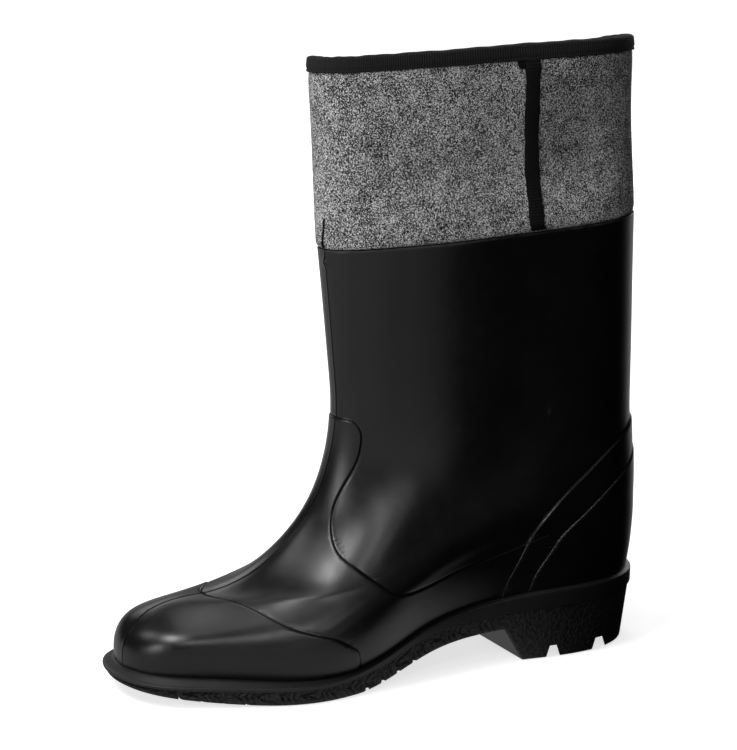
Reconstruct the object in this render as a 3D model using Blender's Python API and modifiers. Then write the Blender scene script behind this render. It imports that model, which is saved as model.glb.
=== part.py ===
"""Felt-topped moulded boot for the left foot, standing empty on its sole.

A moulded rubber upper stands on a moulded sole with a heel. A felt shaft is let into the
top of the upper, bound along its edge and taped over its one seam. An insole lies inside.
Lengths below are millimetres. The toe points to -Y, the foot's outer side is +X, the floor is Z = 0.
"""

import math

import bmesh
import bpy
import numpy as np

MM = 0.001

# Driving sizes
SOLE_TOE = -150.5
SOLE_HEEL = 145.8
BALL_HALF = 55.5
HEEL_HALF = 37.5
WAIST_HALF = 36.5
TOE_HALF = 41.0
TOE_SWING = 11.0
TOE_SWING_FROM = -8.0
TOE_SWING_SPAN = 140.0
HEEL_SWING = 3.0
SIDE_SKEW = 0.06
RUBBER_TOP_FRONT = 226.0
RUBBER_TOP_BACK = 234.0
RUBBER_WALL = 2.6
FELT_THICK = 4.0
FELT_CLEARANCE = 0.45
FELT_TUCK_STATIONS = (0.955, 0.985, 1.0)
GAP = 0.3

# Tapes
TAPE_THICK = 1.0
TAPE_ROUND = 0.3
BINDING_DEPTH = 6.6
SEAM_TAPE_WIDTH = 8.4
SEAM_TAPE_FOOT_Y = 70.8
SEAM_TAPE_HEAD_Y = 66.8
SEAM_TAPE_VERTEX = 12
SEAM_TAPE_MARGIN = 0.5

# Insole
INSOLE_THICK = 4.0
INSOLE_ROUND = 1.0
INSOLE_INSET = 4.2
INSOLE_LIFT = 0.5

# Sole edge and tread
LEDGE_ROUND = 1.0
LEDGE_IN = 10.0
BAND_LEAN = 0.2
BAND_STEP = 1.2
BAND_STEP_FALL = 0.5
EDGE_CHAMFER = 2.4
HEEL_TAPER = 0.12
HEEL_BREAST_TOP = 56.0
HEEL_BREAST_FOOT = 67.0
TREAD_DEPTH = 2.6
TREAD_WIDTH = 3.6
TREAD_PITCH = 10.5
TREAD_FIRST = -124.0
TREAD_COUNT = 13
TREAD_ZIGZAG = 3.6
TREAD_BENDS = 9
TREAD_TAPER = 0.7
TREAD_MARGIN = 6.0
TREAD_OPEN_FROM = -34.0
HEEL_GROOVES = (84.3, 112.4)
HEEL_GROOVE_FOOT = 8.6
HEEL_GROOVE_ROOF = 4.0
HEEL_GROOVE_DEPTH = 7.0

# Mesh density
SEGMENTS = 44
UPPER_RINGS = 24
RING_SPREAD = 1.3
FELT_RINGS = 7
SOLE_SEGMENTS = 60
SOLE_ANGLE_APART = 0.03
CUTTER_REACH = 90.0
CUTTER_BELOW = 1.0
SHARP_ANGLE = 40.0

# Middle of the whole boot's plan in the measures below; the finished boot stands centred on it
PLAN_MIDDLE = (-4.556, -1.782)

# Places along a section's chord, from the back (-1) to the front (+1), where its half-widths are given
WIDTH_STATIONS = (-0.75, -0.1, 0.35, 0.8)

# Height of the sole's top ledge and of its underside along the foot, toe to heel
SOLE_TOP = {
    "y": (-150.5, -144, -100, -55, -30, -14, 2, 14, 32, 54, 70, 102, 146),
    "z": (13.8, 13.4, 11.6, 11.2, 14.2, 18.2, 23.6, 27.8, 32.4, 36.2, 38.0, 39.2, 40.0),
}
SOLE_UNDER = {
    "y": (-150.5, -128, -104, -80, -52, -32, -18, -6, 4, 16, 32, 56),
    "z": (8.4, 5.0, 2.0, 0.3, 0.0, 0.0, 1.8, 4.8, 8.1, 12.2, 16.0, 18.8),
}
# How far the seat of the upper stands above the ledge's rim, and how far in from the edge it begins
SOLE_SEAT = {
    "y": (-150.5, -115, -75, -35, 10, 146),
    "rise": (3.4, 3.0, 1.6, 0.7, 0.6, 0.6),
    "inset": (5.6, 5.4, 4.6, 3.8, 2.6, 1.8),
}
# Height of the smooth band under the ledge
SOLE_BAND = {
    "y": (-150.5, -100, -40, 20, 60, 146),
    "z": (2.6, 4.0, 4.6, 6.0, 8.2, 7.2),
}

# Sections of the upper from the feather edge to the top: where each meets the back and the front
# of the boot, its half-widths at heel, waist, ball and toe, how blunt its ends are, how far it
# follows the sole's own curve, tilts up to the outer side and droops on the inner side.
SECTION_COLUMNS = (
    "back_y back_z front_y front_z heel waist ball toe blunt_back blunt_front follow tilt droop"
).split()
UPPER_SECTIONS = {
    "feather": (142.0, 40.9, -144.0, 17.1, 33.5, 33.5, 49.5, 34.0, 1.28, 1.28, 1.0, 0.0, 0.0),
    "wall": (143.4, 52.0, -143.2, 28.0, 35.6, 37.0, 52.4, 36.5, 1.28, 1.28, 1.0, 0.0, 0.0),
    "toe_turn": (144.6, 62.5, -136.2, 37.6, 36.0, 38.6, 52.2, 35.5, 1.25, 1.26, 0.9, 0.0, 0.0),
    "toe_top": (145.0, 72.0, -120.5, 44.4, 35.8, 38.2, 48.0, 26.5, 1.25, 0.88, 0.8, 0.0, 0.0),
    "vamp_low": (145.0, 82.0, -97.0, 47.9, 35.2, 37.0, 41.5, 25.0, 1.22, 0.7, 0.7, 0.0, 0.0),
    "vamp": (145.0, 92.0, -73.0, 57.0, 34.4, 35.8, 36.5, 27.0, 1.2, 0.8, 0.55, 0.0, 0.0),
    "instep_low": (144.9, 103.0, -52.8, 73.5, 33.2, 34.4, 33.6, 25.5, 1.16, 0.84, 0.4, 0.0, 0.0),
    "instep": (144.7, 115.0, -39.4, 91.8, 32.0, 33.0, 31.6, 22.6, 1.12, 0.95, 0.25, 0.0, 0.0),
    "throat": (144.3, 128.0, -31.3, 113.0, 31.0, 32.0, 30.2, 19.6, 1.1, 1.05, 0.1, 0.0, 0.0),
    "saddle_top": (144.6, 146.0, -27.5, 137.0, 30.2, 31.6, 29.6, 18.6, 1.08, 1.12, 0.0, 0.0, 0.0),
    "leg_low": (144.8, 171.0, -28.5, 163.0, 30.2, 33.2, 31.2, 19.4, 1.08, 1.12, 0.0, 0.0, 0.0),
    "leg": (144.6, 201.0, -31.0, 194.0, 31.2, 35.8, 33.5, 21.0, 1.08, 1.12, 0.0, 0.6, 0.0),
    "top": (144.5, RUBBER_TOP_BACK, -33.8, RUBBER_TOP_FRONT, 32.4, 38.0, 35.6, 22.6, 1.08, 1.12, 0.0, 2.0, 0.0),
}
# Sections of the felt shaft above the rubber; the collar is higher on the outer side and at the back
FELT_SECTIONS = {
    "lip": (144.4, 238.6, -34.8, 230.4, 32.0, 37.4, 35.2, 22.8, 1.08, 1.12, 0.0, 2.0, 0.0),
    "pinch": (144.0, 259.0, -35.8, 252.0, 30.0, 34.4, 32.8, 22.4, 1.08, 1.14, 0.0, 2.2, 1.0),
    "calf": (143.0, 289.0, -36.8, 285.0, 30.2, 34.6, 33.4, 23.0, 1.08, 1.16, 0.0, 2.6, 3.2),
    "collar": (142.6, 327.0, -38.6, 323.9, 31.0, 36.0, 34.8, 24.0, 1.08, 1.18, 0.0, 3.2, 7.4),
}
SOLE_SECTION = (
    SOLE_HEEL, 0.0, SOLE_TOE, 0.0, HEEL_HALF, WAIST_HALF, BALL_HALF, TOE_HALF, 1.3, 1.25, 1.0, 0.0, 0.0
)

# Edges of the moulded panels in side view, as (y, z)
VAMP_EDGE = (
    (-45.0, 137.2), (-27.0, 137.0), (-21.1, 135.6), (-18.2, 130.5), (-18.6, 123.5), (-22.4, 113.6),
    (-30.6, 97.2), (-36.2, 82.8), (-36.6, 70.5), (-29.0, 61.8), (-20.5, 53.0), (-10.0, 49.8),
    (8.0, 52.0), (26.0, 56.6), (46.0, 61.4), (68.0, 67.4), (80.0, 70.0),
)
STRIP_EDGE = (
    (53.0, 20.0), (54.5, 37.6), (60.0, 51.4), (68.0, 66.4), (76.4, 77.8), (90.5, 91.0),
    (104.5, 102.0), (118.5, 111.6), (133.0, 119.0), (146.0, 124.5), (175.0, 134.0),
)
CAP_EDGE = (
    (-112.0, 80.0), (-107.0, 56.0), (-103.8, 51.2), (-92.9, 48.6), (-80.0, 43.2), (-69.3, 38.7),
    (-55.0, 34.6), (-47.0, 31.6), (-39.6, 27.0), (-35.2, 20.0), (-33.0, 0.0),
)
COUNTER_EDGE = (
    (68.0, 20.0), (70.0, 41.0), (77.3, 54.5), (84.0, 63.8), (91.0, 71.4), (105.0, 82.0),
    (120.0, 92.6), (134.0, 101.0), (146.6, 109.0), (175.0, 122.0),
)
EDGE_STEPS = 2.5
FAR = 190.0

# Panels raised on the upper, each a step in its wall: its edge, the far corners that close its outline,
# the share of the way up at which it starts, how deep it roots in the wall and how far it stands out.
PANELS = {
    "vamp_panel": (VAMP_EDGE, ((80.0, 0.0), (-FAR, 0.0), (-FAR, 137.2)), 0.004, 1.3, 0.9),
    "toe_cap": (CAP_EDGE, ((-FAR, 0.0), (-FAR, 80.0)), 0.007, 1.0, 1.6),
    "counter_strip": (STRIP_EDGE, ((FAR, 20.0),), 0.007, 1.0, 1.4),
    "heel_counter": (COUNTER_EDGE, ((FAR, 20.0),), 0.010, 0.8, 1.9),
}

COLOURS = {
    "upper": ((0.012, 0.012, 0.013), 0.42),
    "outsole": ((0.010, 0.010, 0.011), 0.60),
    "felt_shaft": ((0.17, 0.17, 0.175), 0.95),
    "collar_binding": ((0.012, 0.012, 0.012), 0.85),
    "seam_tape": ((0.010, 0.010, 0.010), 0.85),
    "insole": ((0.10, 0.10, 0.105), 0.95),
}


def spline(stations, values):
    """Natural cubic spline through rows of values, as a function of the station."""
    x = np.asarray(stations, float)
    y = np.asarray(values, float).reshape(len(x), -1)
    h = np.diff(x)
    system = np.eye(len(x))
    rhs = np.zeros_like(y)
    for i in range(1, len(x) - 1):
        system[i, i - 1 : i + 2] = h[i - 1], 2 * (h[i - 1] + h[i]), h[i]
        rhs[i] = 6 * ((y[i + 1] - y[i]) / h[i] - (y[i] - y[i - 1]) / h[i - 1])
    bend = np.linalg.solve(system, rhs)

    def at(t):
        t = np.clip(np.atleast_1d(np.asarray(t, float)), x[0], x[-1])
        i = np.clip(np.searchsorted(x, t, side="right") - 1, 0, len(x) - 2)
        a = ((x[i + 1] - t) / h[i])[:, None]
        b = 1 - a
        curve = ((a**3 - a) * bend[i] + (b**3 - b) * bend[i + 1]) * (h[i] ** 2)[:, None] / 6
        return a * y[i] + b * y[i + 1] + curve

    return at


def profile(table, column="z"):
    """A measure along the foot, from a table with a column y and a named column."""
    curve = spline(table["y"], table[column])
    return lambda y: curve(y)[:, 0]


sole_top = profile(SOLE_TOP)
sole_arch = profile(SOLE_UNDER)
sole_band = profile(SOLE_BAND)
seat_rise = profile(SOLE_SEAT, "rise")
seat_inset = profile(SOLE_SEAT, "inset")


def sole_seat(y):
    """Top of the sole under the upper."""
    return sole_top(y) + seat_rise(y)


def sole_under(y):
    """Underside of the sole: the forefoot and arch, then the slanting breast and the flat heel."""
    breast = np.clip((y - HEEL_BREAST_TOP) / (HEEL_BREAST_FOOT - HEEL_BREAST_TOP), 0, 1)
    return np.clip(sole_arch(y), 0, None) * (1 - breast)


def swing(y):
    """Sideways curve of the foot's middle line: the toe bends inwards, the heel a little outwards."""
    forward = np.clip((TOE_SWING_FROM - y) / TOE_SWING_SPAN, 0, 1)
    return HEEL_SWING * np.clip(y / SOLE_HEEL, 0, 1) - TOE_SWING * forward**2 * (3 - 2 * forward)


def section_curve(sections):
    """Sections blended along the boot, as a function from 0 (first section) to 1 (last)."""
    rows = np.array(list(sections.values()))
    back, front = rows[:, 0:2], rows[:, 2:4]
    steps = np.linalg.norm(np.diff(back, axis=0), axis=1) + np.linalg.norm(np.diff(front, axis=0), axis=1)
    stations = np.concatenate([[0], np.cumsum(steps)])
    return spline(stations / stations[-1], rows)


upper_section = section_curve(UPPER_SECTIONS)
felt_section = section_curve(FELT_SECTIONS)


def ring(row, angles):
    """Points of one section, angle 0 at the front, a quarter turn on the outer side."""
    s = dict(zip(SECTION_COLUMNS, row))
    along = np.cos(angles)
    side = np.sin(angles)
    share = (1 + along) / 2
    y = s["back_y"] + (s["front_y"] - s["back_y"]) * share
    chord = s["back_z"] + (s["front_z"] - s["back_z"]) * share
    ends = sole_seat(np.array([s["back_y"], s["front_y"]]))
    dip = sole_seat(y) - (ends[0] + (ends[1] - ends[0]) * share)
    z = chord + s["follow"] * dip + s["tilt"] * side - s["droop"] * np.clip(side, None, 0) ** 2
    full = [s[w] / math.sqrt(1 - c * c) for w, c in zip(("heel", "waist", "ball", "toe"), WIDTH_STATIONS)]
    full = [full[0] * s["blunt_back"], *full, full[-1] * s["blunt_front"]]
    skewed = along - np.sign(side) * SIDE_SKEW * s["follow"] * side**2
    half = spline((-1, *WIDTH_STATIONS, 1), full)(skewed)[:, 0]
    return np.stack([swing(y) + side * half, y, z], axis=1)


def inset(points, distance):
    """A closed ring moved inwards in plan by a distance, keeping its heights."""
    tangent = np.roll(points, -1, axis=0)[:, :2] - np.roll(points, 1, axis=0)[:, :2]
    inward = np.stack([-tangent[:, 1], tangent[:, 0]], axis=1)
    inward /= np.linalg.norm(inward, axis=1, keepdims=True)
    moved = points.copy()
    moved[:, :2] += inward * np.asarray(distance).reshape(-1, 1)
    return moved


def turn(count):
    return np.linspace(0, 2 * math.pi, count, endpoint=False)


def new_object(name, bm, collection):
    mesh = bpy.data.meshes.new(name)
    bmesh.ops.recalc_face_normals(bm, faces=bm.faces)
    bmesh.ops.translate(bm, vec=(-PLAN_MIDDLE[0], -PLAN_MIDDLE[1], 0), verts=bm.verts)
    bmesh.ops.scale(bm, vec=(MM, MM, MM), verts=bm.verts)
    bm.to_mesh(mesh)
    bm.free()
    mesh.shade_smooth()
    mesh.set_sharp_from_angle(angle=math.radians(SHARP_ANGLE))
    obj = bpy.data.objects.new(name, mesh)
    collection.objects.link(obj)
    return obj


def helper(obj):
    """A cutter or a form that only shapes another piece."""
    obj.hide_render = True
    obj.display_type = "WIRE"
    return obj


def skin(bm, rings, closed=False):
    """Quads between neighbouring rings; a closed skin joins the last ring to the first."""
    rows = [[bm.verts.new(p) for p in points] for points in rings]
    pairs = list(zip(rows, rows[1:])) + ([(rows[-1], rows[0])] if closed else [])
    for low, high in pairs:
        for i in range(len(low)):
            j = (i + 1) % len(low)
            bm.faces.new((low[i], low[j], high[j], high[i]))
    return rows


def ladder(bm, row):
    """Closes a ring with rungs from its outer side to its inner side."""
    count = len(row)
    for i in range(count // 2):
        a, b = row[i], row[i + 1]
        c, d = row[-i - 1], row[-i]
        corners = [a, b, c, d] if i else [a, b, c]
        if b is c:
            corners = [a, b, d]
        bm.faces.new(corners)


def modifier(obj, kind, **settings):
    made = obj.modifiers.new(kind.title(), kind)
    for name, value in settings.items():
        setattr(made, name, value)
    return made


def shell(obj, inside, outside):
    """Gives an open surface a wall from inside it to outside it."""
    thick = inside + outside
    modifier(obj, "SOLIDIFY", thickness=thick * MM, offset=(outside - inside) / thick, use_even_offset=True)
    modifier(obj, "TRIANGULATE")


def boolean(obj, other, operation):
    modifier(obj, "BOOLEAN", object=other, operation=operation, solver="EXACT")


def prism(name, outline, collection):
    """A side-view outline (y, z) extruded right across the boot."""
    bm = bmesh.new()
    face = bm.faces.new([bm.verts.new((-CUTTER_REACH, y, z)) for y, z in outline])
    grown = bmesh.ops.extrude_face_region(bm, geom=[face])["geom"]
    bmesh.ops.translate(
        bm, vec=(2 * CUTTER_REACH, 0, 0), verts=[v for v in grown if isinstance(v, bmesh.types.BMVert)]
    )
    return helper(new_object(name, bm, collection))


def eased(points):
    """A smooth line through the points of a panel's edge."""
    stations = np.arange(len(points))
    fine = np.linspace(0, len(points) - 1, int(EDGE_STEPS * (len(points) - 1)) + 1)
    return [tuple(p) for p in spline(stations, points)(fine)]


def upper_form(name, first, collection):
    """The upper's outer surface as an open tube."""
    bm = bmesh.new()
    rows = upper_section(first + (1 - first) * np.linspace(0, 1, UPPER_RINGS) ** RING_SPREAD)
    skin(bm, [ring(row, turn(SEGMENTS)) for row in rows])
    return new_object(name, bm, collection)


def raised_panel(name, cutters):
    """A thin form over the upper, kept only inside its side-view outline."""
    edge, corners, start, root, height = PANELS[name]
    panel = helper(upper_form(name, start, cutters))
    shell(panel, root, height)
    boolean(panel, prism(name + "_outline", eased(edge) + list(corners), cutters), "INTERSECT")
    return panel


def build_upper(parts, cutters):
    """Moulded foot and leg: one wall, with vamp, toe cap, strip and heel counter as steps in it."""
    upper = upper_form("upper", 0, parts)
    shell(upper, RUBBER_WALL, 0)
    for name in PANELS:
        boolean(upper, raised_panel(name, cutters), "UNION")
    return upper


def sole_angles():
    """Angles round the sole, with rows exactly on the heel breast."""
    middle, half = (SOLE_HEEL + SOLE_TOE) / 2, (SOLE_HEEL - SOLE_TOE) / 2
    breast = [math.acos((middle - y) / half) for y in (HEEL_BREAST_TOP, HEEL_BREAST_FOOT)]
    outer = set(np.linspace(0, math.pi, SOLE_SEGMENTS // 2 + 1)) | set(breast)
    outer = sorted(a for a in outer if a in breast or all(abs(a - b) > SOLE_ANGLE_APART for b in breast))
    inner = [2 * math.pi - a for a in reversed(outer[1:-1])]
    return np.array(outer + inner)


def below_ledge(outline, depth, drop):
    """A line round the sole, set in by a depth and a drop below the ledge's rim."""
    line = inset(outline, depth)
    line[:, 2] = sole_top(line[:, 1]) - drop
    return line


def above_ground(outline, depth, rise):
    """A line round the sole, set in by a depth and a rise above its underside."""
    line = inset(outline, depth)
    line[:, 2] = sole_under(outline[:, 1]) + rise
    return line


def groove(bm, path, foot, roof, low, high):
    """A tapering bar along a path of (x, y), as a cutter for one groove."""
    corners = [
        [(x, y - foot / 2, low), (x, y + foot / 2, low), (x, y + roof / 2, high), (x, y - roof / 2, high)]
        for x, y in path
    ]
    rows = skin(bm, corners)
    bm.faces.new(rows[0])
    bm.faces.new(rows[-1])


def tread_cutter(cutters):
    """Zigzag grooves under the forefoot, open at the sides behind the ball, and two across the heel."""
    bm = bmesh.new()
    outline = ring(SOLE_SECTION, turn(360))
    for i in range(TREAD_COUNT):
        y = TREAD_FIRST + i * TREAD_PITCH
        near = outline[np.abs(outline[:, 1] - y) < TREAD_PITCH / 2]
        spare = -TREAD_MARGIN if y > TREAD_OPEN_FROM else TREAD_MARGIN
        left, right = near[:, 0].min() + spare, near[:, 0].max() - spare
        xs = np.linspace(left, right, TREAD_BENDS)
        path = [(x, y + TREAD_ZIGZAG * (k % 2 - 0.5)) for k, x in enumerate(xs)]
        high = float(sole_under(np.array([y]))[0]) + TREAD_DEPTH
        groove(bm, path, TREAD_WIDTH, TREAD_WIDTH * TREAD_TAPER, high - 4 * TREAD_DEPTH, high)
    for y in HEEL_GROOVES:
        path = [(-CUTTER_REACH, y), (CUTTER_REACH, y)]
        spread = CUTTER_BELOW * (HEEL_GROOVE_FOOT - HEEL_GROOVE_ROOF) / HEEL_GROOVE_DEPTH
        groove(bm, path, HEEL_GROOVE_FOOT + spread, HEEL_GROOVE_ROOF, -CUTTER_BELOW, HEEL_GROOVE_DEPTH)
    return helper(new_object("tread_cutter", bm, cutters))


def build_outsole(parts, cutters):
    """Sole and heel in one: ledge, smooth band, stepped-in edge and treaded underside."""
    outline = ring(SOLE_SECTION, sole_angles())
    y = outline[:, 1]
    thick = sole_top(y) - sole_under(y)
    band = sole_band(y)
    taper = HEEL_TAPER * np.clip(thick - band, 0, None)
    rise = seat_rise(y)
    lines = [
        below_ledge(outline, LEDGE_IN, -rise),
        below_ledge(outline, seat_inset(y), -rise),
        below_ledge(outline, LEDGE_ROUND, 0),
        below_ledge(outline, 0, LEDGE_ROUND),
        below_ledge(outline, BAND_LEAN, band),
        below_ledge(outline, BAND_STEP, band + BAND_STEP_FALL),
        above_ground(outline, BAND_STEP + taper, EDGE_CHAMFER),
        above_ground(outline, BAND_STEP + EDGE_CHAMFER + taper, 0),
    ]
    bm = bmesh.new()
    rows = skin(bm, lines)
    ladder(bm, rows[0])
    ladder(bm, rows[-1])
    outsole = new_object("outsole", bm, parts)
    boolean(outsole, tread_cutter(cutters), "DIFFERENCE")
    return outsole


def felt_rings(count):
    """Outer surface of the felt: tucked inside the rubber, then out over its rim and up to the collar."""
    angles = turn(SEGMENTS)
    tuck = RUBBER_WALL + FELT_CLEARANCE
    tucked = [inset(ring(upper_section(t)[0], angles), tuck) for t in FELT_TUCK_STATIONS]
    tucked[-1][:, 2] += GAP
    return tucked + [ring(row, angles) for row in felt_section(np.linspace(0, 1, count))]


def build_felt_shaft(parts):
    bm = bmesh.new()
    skin(bm, felt_rings(FELT_RINGS))
    felt = new_object("felt_shaft", bm, parts)
    shell(felt, FELT_THICK, 0)
    return felt


def felt_below_collar(depth):
    """The felt's outer surface a little below its top edge."""
    below, edge = felt_rings(FELT_RINGS)[-2:]
    return edge + (below - edge) * depth / (edge[:, 2:] - below[:, 2:])


def build_collar_binding(parts):
    """Tape folded over the felt's top edge: a channel open downwards whose two legs follow the felt."""
    edge = felt_below_collar(0)
    foot = felt_below_collar(BINDING_DEPTH)
    under, out, soft = GAP, GAP + TAPE_THICK, GAP + TAPE_ROUND
    roof, top = 2 * GAP, 2 * GAP + TAPE_THICK
    back = FELT_THICK
    channel = [
        (foot, -under, 0), (foot, -out, 0), (edge, -out, roof), (edge, -soft, top),
        (edge, back + soft, top), (edge, back + out, roof), (foot, back + out, 0),
        (foot, back + under, 0), (edge, back + under, roof), (edge, -under, roof),
    ]
    lines = []
    for base, depth, rise in channel:
        line = inset(base, depth)
        line[:, 2] += rise
        lines.append(line)
    bm = bmesh.new()
    skin(bm, lines, closed=True)
    return new_object("collar_binding", bm, parts)


def build_seam_tape(parts):
    """Tape down the outer side of the felt, over its seam, from the binding to the rubber's rim."""
    rings = felt_rings(FELT_RINGS)[3:-1] + [felt_below_collar(BINDING_DEPTH + GAP)]
    middles = np.linspace(SEAM_TAPE_FOOT_Y, SEAM_TAPE_HEAD_Y, len(rings))
    bands = []
    for points, middle in zip(rings, middles):
        under, over = (inset(points, -depth)[: SEGMENTS // 2] for depth in (GAP, GAP + TAPE_THICK))
        reach = SEAM_TAPE_WIDTH / 2 - SEAM_TAPE_MARGIN
        fold = np.clip(points[SEAM_TAPE_VERTEX, 1], middle - reach, middle + reach)
        columns = (middle - SEAM_TAPE_WIDTH / 2, fold, middle + SEAM_TAPE_WIDTH / 2)
        low = [[np.interp(y, under[:, 1], under[:, k]) for k in range(3)] for y in columns]
        high = [[np.interp(y, over[:, 1], over[:, k]) for k in range(3)] for y in columns]
        bands.append(low + high[::-1])
    bm = bmesh.new()
    rows = skin(bm, bands)
    bm.faces.new(rows[0])
    bm.faces.new(rows[-1])
    return new_object("seam_tape", bm, parts)


def build_insole(parts):
    """Felt insole on the sole's top, inside the upper."""
    feather = ring(upper_section(0.0)[0], turn(SEGMENTS))
    lines = []
    for depth, rise in ((0, 0), (0, INSOLE_THICK - INSOLE_ROUND), (INSOLE_ROUND, INSOLE_THICK)):
        line = inset(feather, INSOLE_INSET + depth)
        line[:, 2] = sole_seat(line[:, 1]) + INSOLE_LIFT + rise
        lines.append(line)
    bm = bmesh.new()
    rows = skin(bm, lines)
    ladder(bm, rows[0])
    ladder(bm, rows[-1])
    return new_object("insole", bm, parts)


def paint(obj):
    colour, roughness = COLOURS[obj.name]
    material = bpy.data.materials.new(obj.name)
    material.use_nodes = True
    shader = material.node_tree.nodes["Principled BSDF"]
    shader.inputs["Base Color"].default_value = (*colour, 1.0)
    shader.inputs["Roughness"].default_value = roughness
    shader.inputs["Metallic"].default_value = 0.0
    obj.data.materials.append(material)


def main():
    for obj in list(bpy.data.objects):
        bpy.data.objects.remove(obj)
    parts = bpy.data.collections.new("felt_boot")
    cutters = bpy.data.collections.new("cutters")
    for collection in (parts, cutters):
        bpy.context.scene.collection.children.link(collection)
    boot = bpy.data.objects.new("boot", None)
    parts.objects.link(boot)
    pieces = [
        build_upper(parts, cutters),
        build_outsole(parts, cutters),
        build_felt_shaft(parts),
        build_collar_binding(parts),
        build_seam_tape(parts),
        build_insole(parts),
    ]
    for piece in pieces:
        piece.parent = boot
        paint(piece)


main()
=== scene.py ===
"""Felt-topped rubber boot: the looks of its pieces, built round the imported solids.

Tables and sizes are millimetres in the boot's own measures: the toe points to -Y, the foot's outer side
is +X and the floor is Z = 0. Angles round the boot start at the front and turn to the outer side first.
"""

import math

import bpy
import numpy as np
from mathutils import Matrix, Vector


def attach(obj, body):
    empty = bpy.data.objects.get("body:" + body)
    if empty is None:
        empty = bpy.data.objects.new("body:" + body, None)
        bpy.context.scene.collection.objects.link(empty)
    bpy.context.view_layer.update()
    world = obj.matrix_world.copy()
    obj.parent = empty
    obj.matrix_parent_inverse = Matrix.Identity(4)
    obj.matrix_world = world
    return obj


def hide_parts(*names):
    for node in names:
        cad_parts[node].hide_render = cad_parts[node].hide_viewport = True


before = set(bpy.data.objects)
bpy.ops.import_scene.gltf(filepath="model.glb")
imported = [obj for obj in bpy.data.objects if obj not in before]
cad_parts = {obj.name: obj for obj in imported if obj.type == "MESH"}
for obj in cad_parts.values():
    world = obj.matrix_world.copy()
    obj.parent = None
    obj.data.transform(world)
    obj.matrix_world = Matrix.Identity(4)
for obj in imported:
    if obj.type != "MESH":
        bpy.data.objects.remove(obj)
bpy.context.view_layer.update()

MM = 0.001
TAU = 2 * math.pi
# From the tables' own zero to the middle of the finished boot
TO_MIDDLE = (4.556, 1.782, 0.0)

# Sizes
SOLE_TOE = -150.5
SOLE_HEEL = 145.8
BALL_HALF = 55.5
HEEL_HALF = 37.5
WAIST_HALF = 36.5
TOE_HALF = 41.0
TOE_SWING = 11.0
TOE_SWING_FROM = -8.0
TOE_SWING_SPAN = 140.0
HEEL_SWING = 3.0
SIDE_SKEW = 0.06
RUBBER_WALL = 2.6
FELT_THICK = 4.0
FELT_CLEARANCE = 0.45
TAPE_THICK = 1.0
BINDING_DEPTH = 6.6
SEAM_TAPE_WIDTH = 8.4
SEAM_TAPE_FOOT_Y = 70.8
SEAM_TAPE_HEAD_Y = 66.8
SEAM_TAPE_FOOT = -0.55
GAP = 0.3

WIDTH_STATIONS = (-0.75, -0.1, 0.35, 0.8)

# Height of the sole's ledge and of its underside along the foot, toe to heel
SOLE_TOP = {
    "y": (-150.5, -144, -100, -55, -30, -14, 2, 14, 32, 54, 70, 102, 146),
    "z": (13.8, 13.4, 11.6, 11.2, 14.2, 18.2, 23.6, 27.8, 32.4, 36.2, 38.0, 39.2, 40.0),
}
SOLE_UNDER = {
    "y": (-150.5, -128, -104, -80, -52, -32, -18, -6, 4, 16, 32, 56),
    "z": (8.4, 5.0, 2.0, 0.3, 0.0, 0.0, 1.8, 4.8, 8.1, 12.2, 16.0, 18.8),
}
SOLE_SEAT = {
    "y": (-150.5, -115, -75, -35, 10, 146),
    "rise": (3.4, 3.0, 1.6, 0.7, 0.6, 0.6),
    "inset": (5.6, 5.4, 4.6, 3.8, 2.6, 1.8),
}
SOLE_BAND = {
    "y": (-150.5, -100, -40, 20, 60, 146),
    "z": (1.5, 1.9, 2.6, 5.4, 8.2, 7.2),
}
HEEL_BREAST_TOP = 56.0
HEEL_BREAST_FOOT = 67.0

# Sections of the rubber upper and of the felt: where each meets the back and the front, its half-widths,
# how blunt its ends are, how far it follows the sole's curve, tilts up to the outer side and droops inside.
SECTION_COLUMNS = (
    "back_y back_z front_y front_z heel waist ball toe blunt_back blunt_front follow tilt droop"
).split()
UPPER_SECTIONS = (
    (142.0, 40.9, -144.0, 17.1, 33.5, 33.5, 49.5, 34.0, 1.28, 1.28, 1.0, 0.0, 0.0),
    (143.4, 52.0, -143.2, 28.0, 35.6, 37.0, 52.4, 36.5, 1.28, 1.28, 1.0, 0.0, 0.0),
    (144.6, 62.5, -136.2, 37.6, 36.0, 38.6, 52.2, 35.5, 1.25, 1.26, 0.9, 0.0, 0.0),
    (145.0, 72.0, -120.5, 44.4, 35.8, 38.2, 48.0, 26.5, 1.25, 0.88, 0.8, 0.0, 0.0),
    (145.0, 82.0, -97.0, 47.9, 35.2, 37.0, 41.5, 25.0, 1.22, 0.7, 0.7, 0.0, 0.0),
    (145.0, 92.0, -73.0, 57.0, 34.4, 35.8, 36.5, 27.0, 1.2, 0.8, 0.55, 0.0, 0.0),
    (144.9, 103.0, -52.8, 73.5, 33.2, 34.4, 33.6, 25.5, 1.16, 0.84, 0.4, 0.0, 0.0),
    (144.7, 115.0, -39.4, 91.8, 32.0, 33.0, 31.6, 22.6, 1.12, 0.95, 0.25, 0.0, 0.0),
    (144.3, 128.0, -31.3, 113.0, 31.0, 32.0, 30.2, 19.6, 1.1, 1.05, 0.1, 0.0, 0.0),
    (144.6, 146.0, -27.5, 137.0, 30.2, 31.6, 29.6, 18.6, 1.08, 1.12, 0.0, 0.0, 0.0),
    (144.8, 171.0, -28.5, 163.0, 30.2, 33.2, 31.2, 19.4, 1.08, 1.12, 0.0, 0.0, 0.0),
    (144.6, 201.0, -31.0, 194.0, 31.2, 35.8, 33.5, 21.0, 1.08, 1.12, 0.0, 0.6, 0.0),
    (144.5, 234.0, -33.8, 226.0, 32.4, 38.0, 35.6, 22.6, 1.08, 1.12, 0.0, 2.0, 0.0),
)
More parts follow.
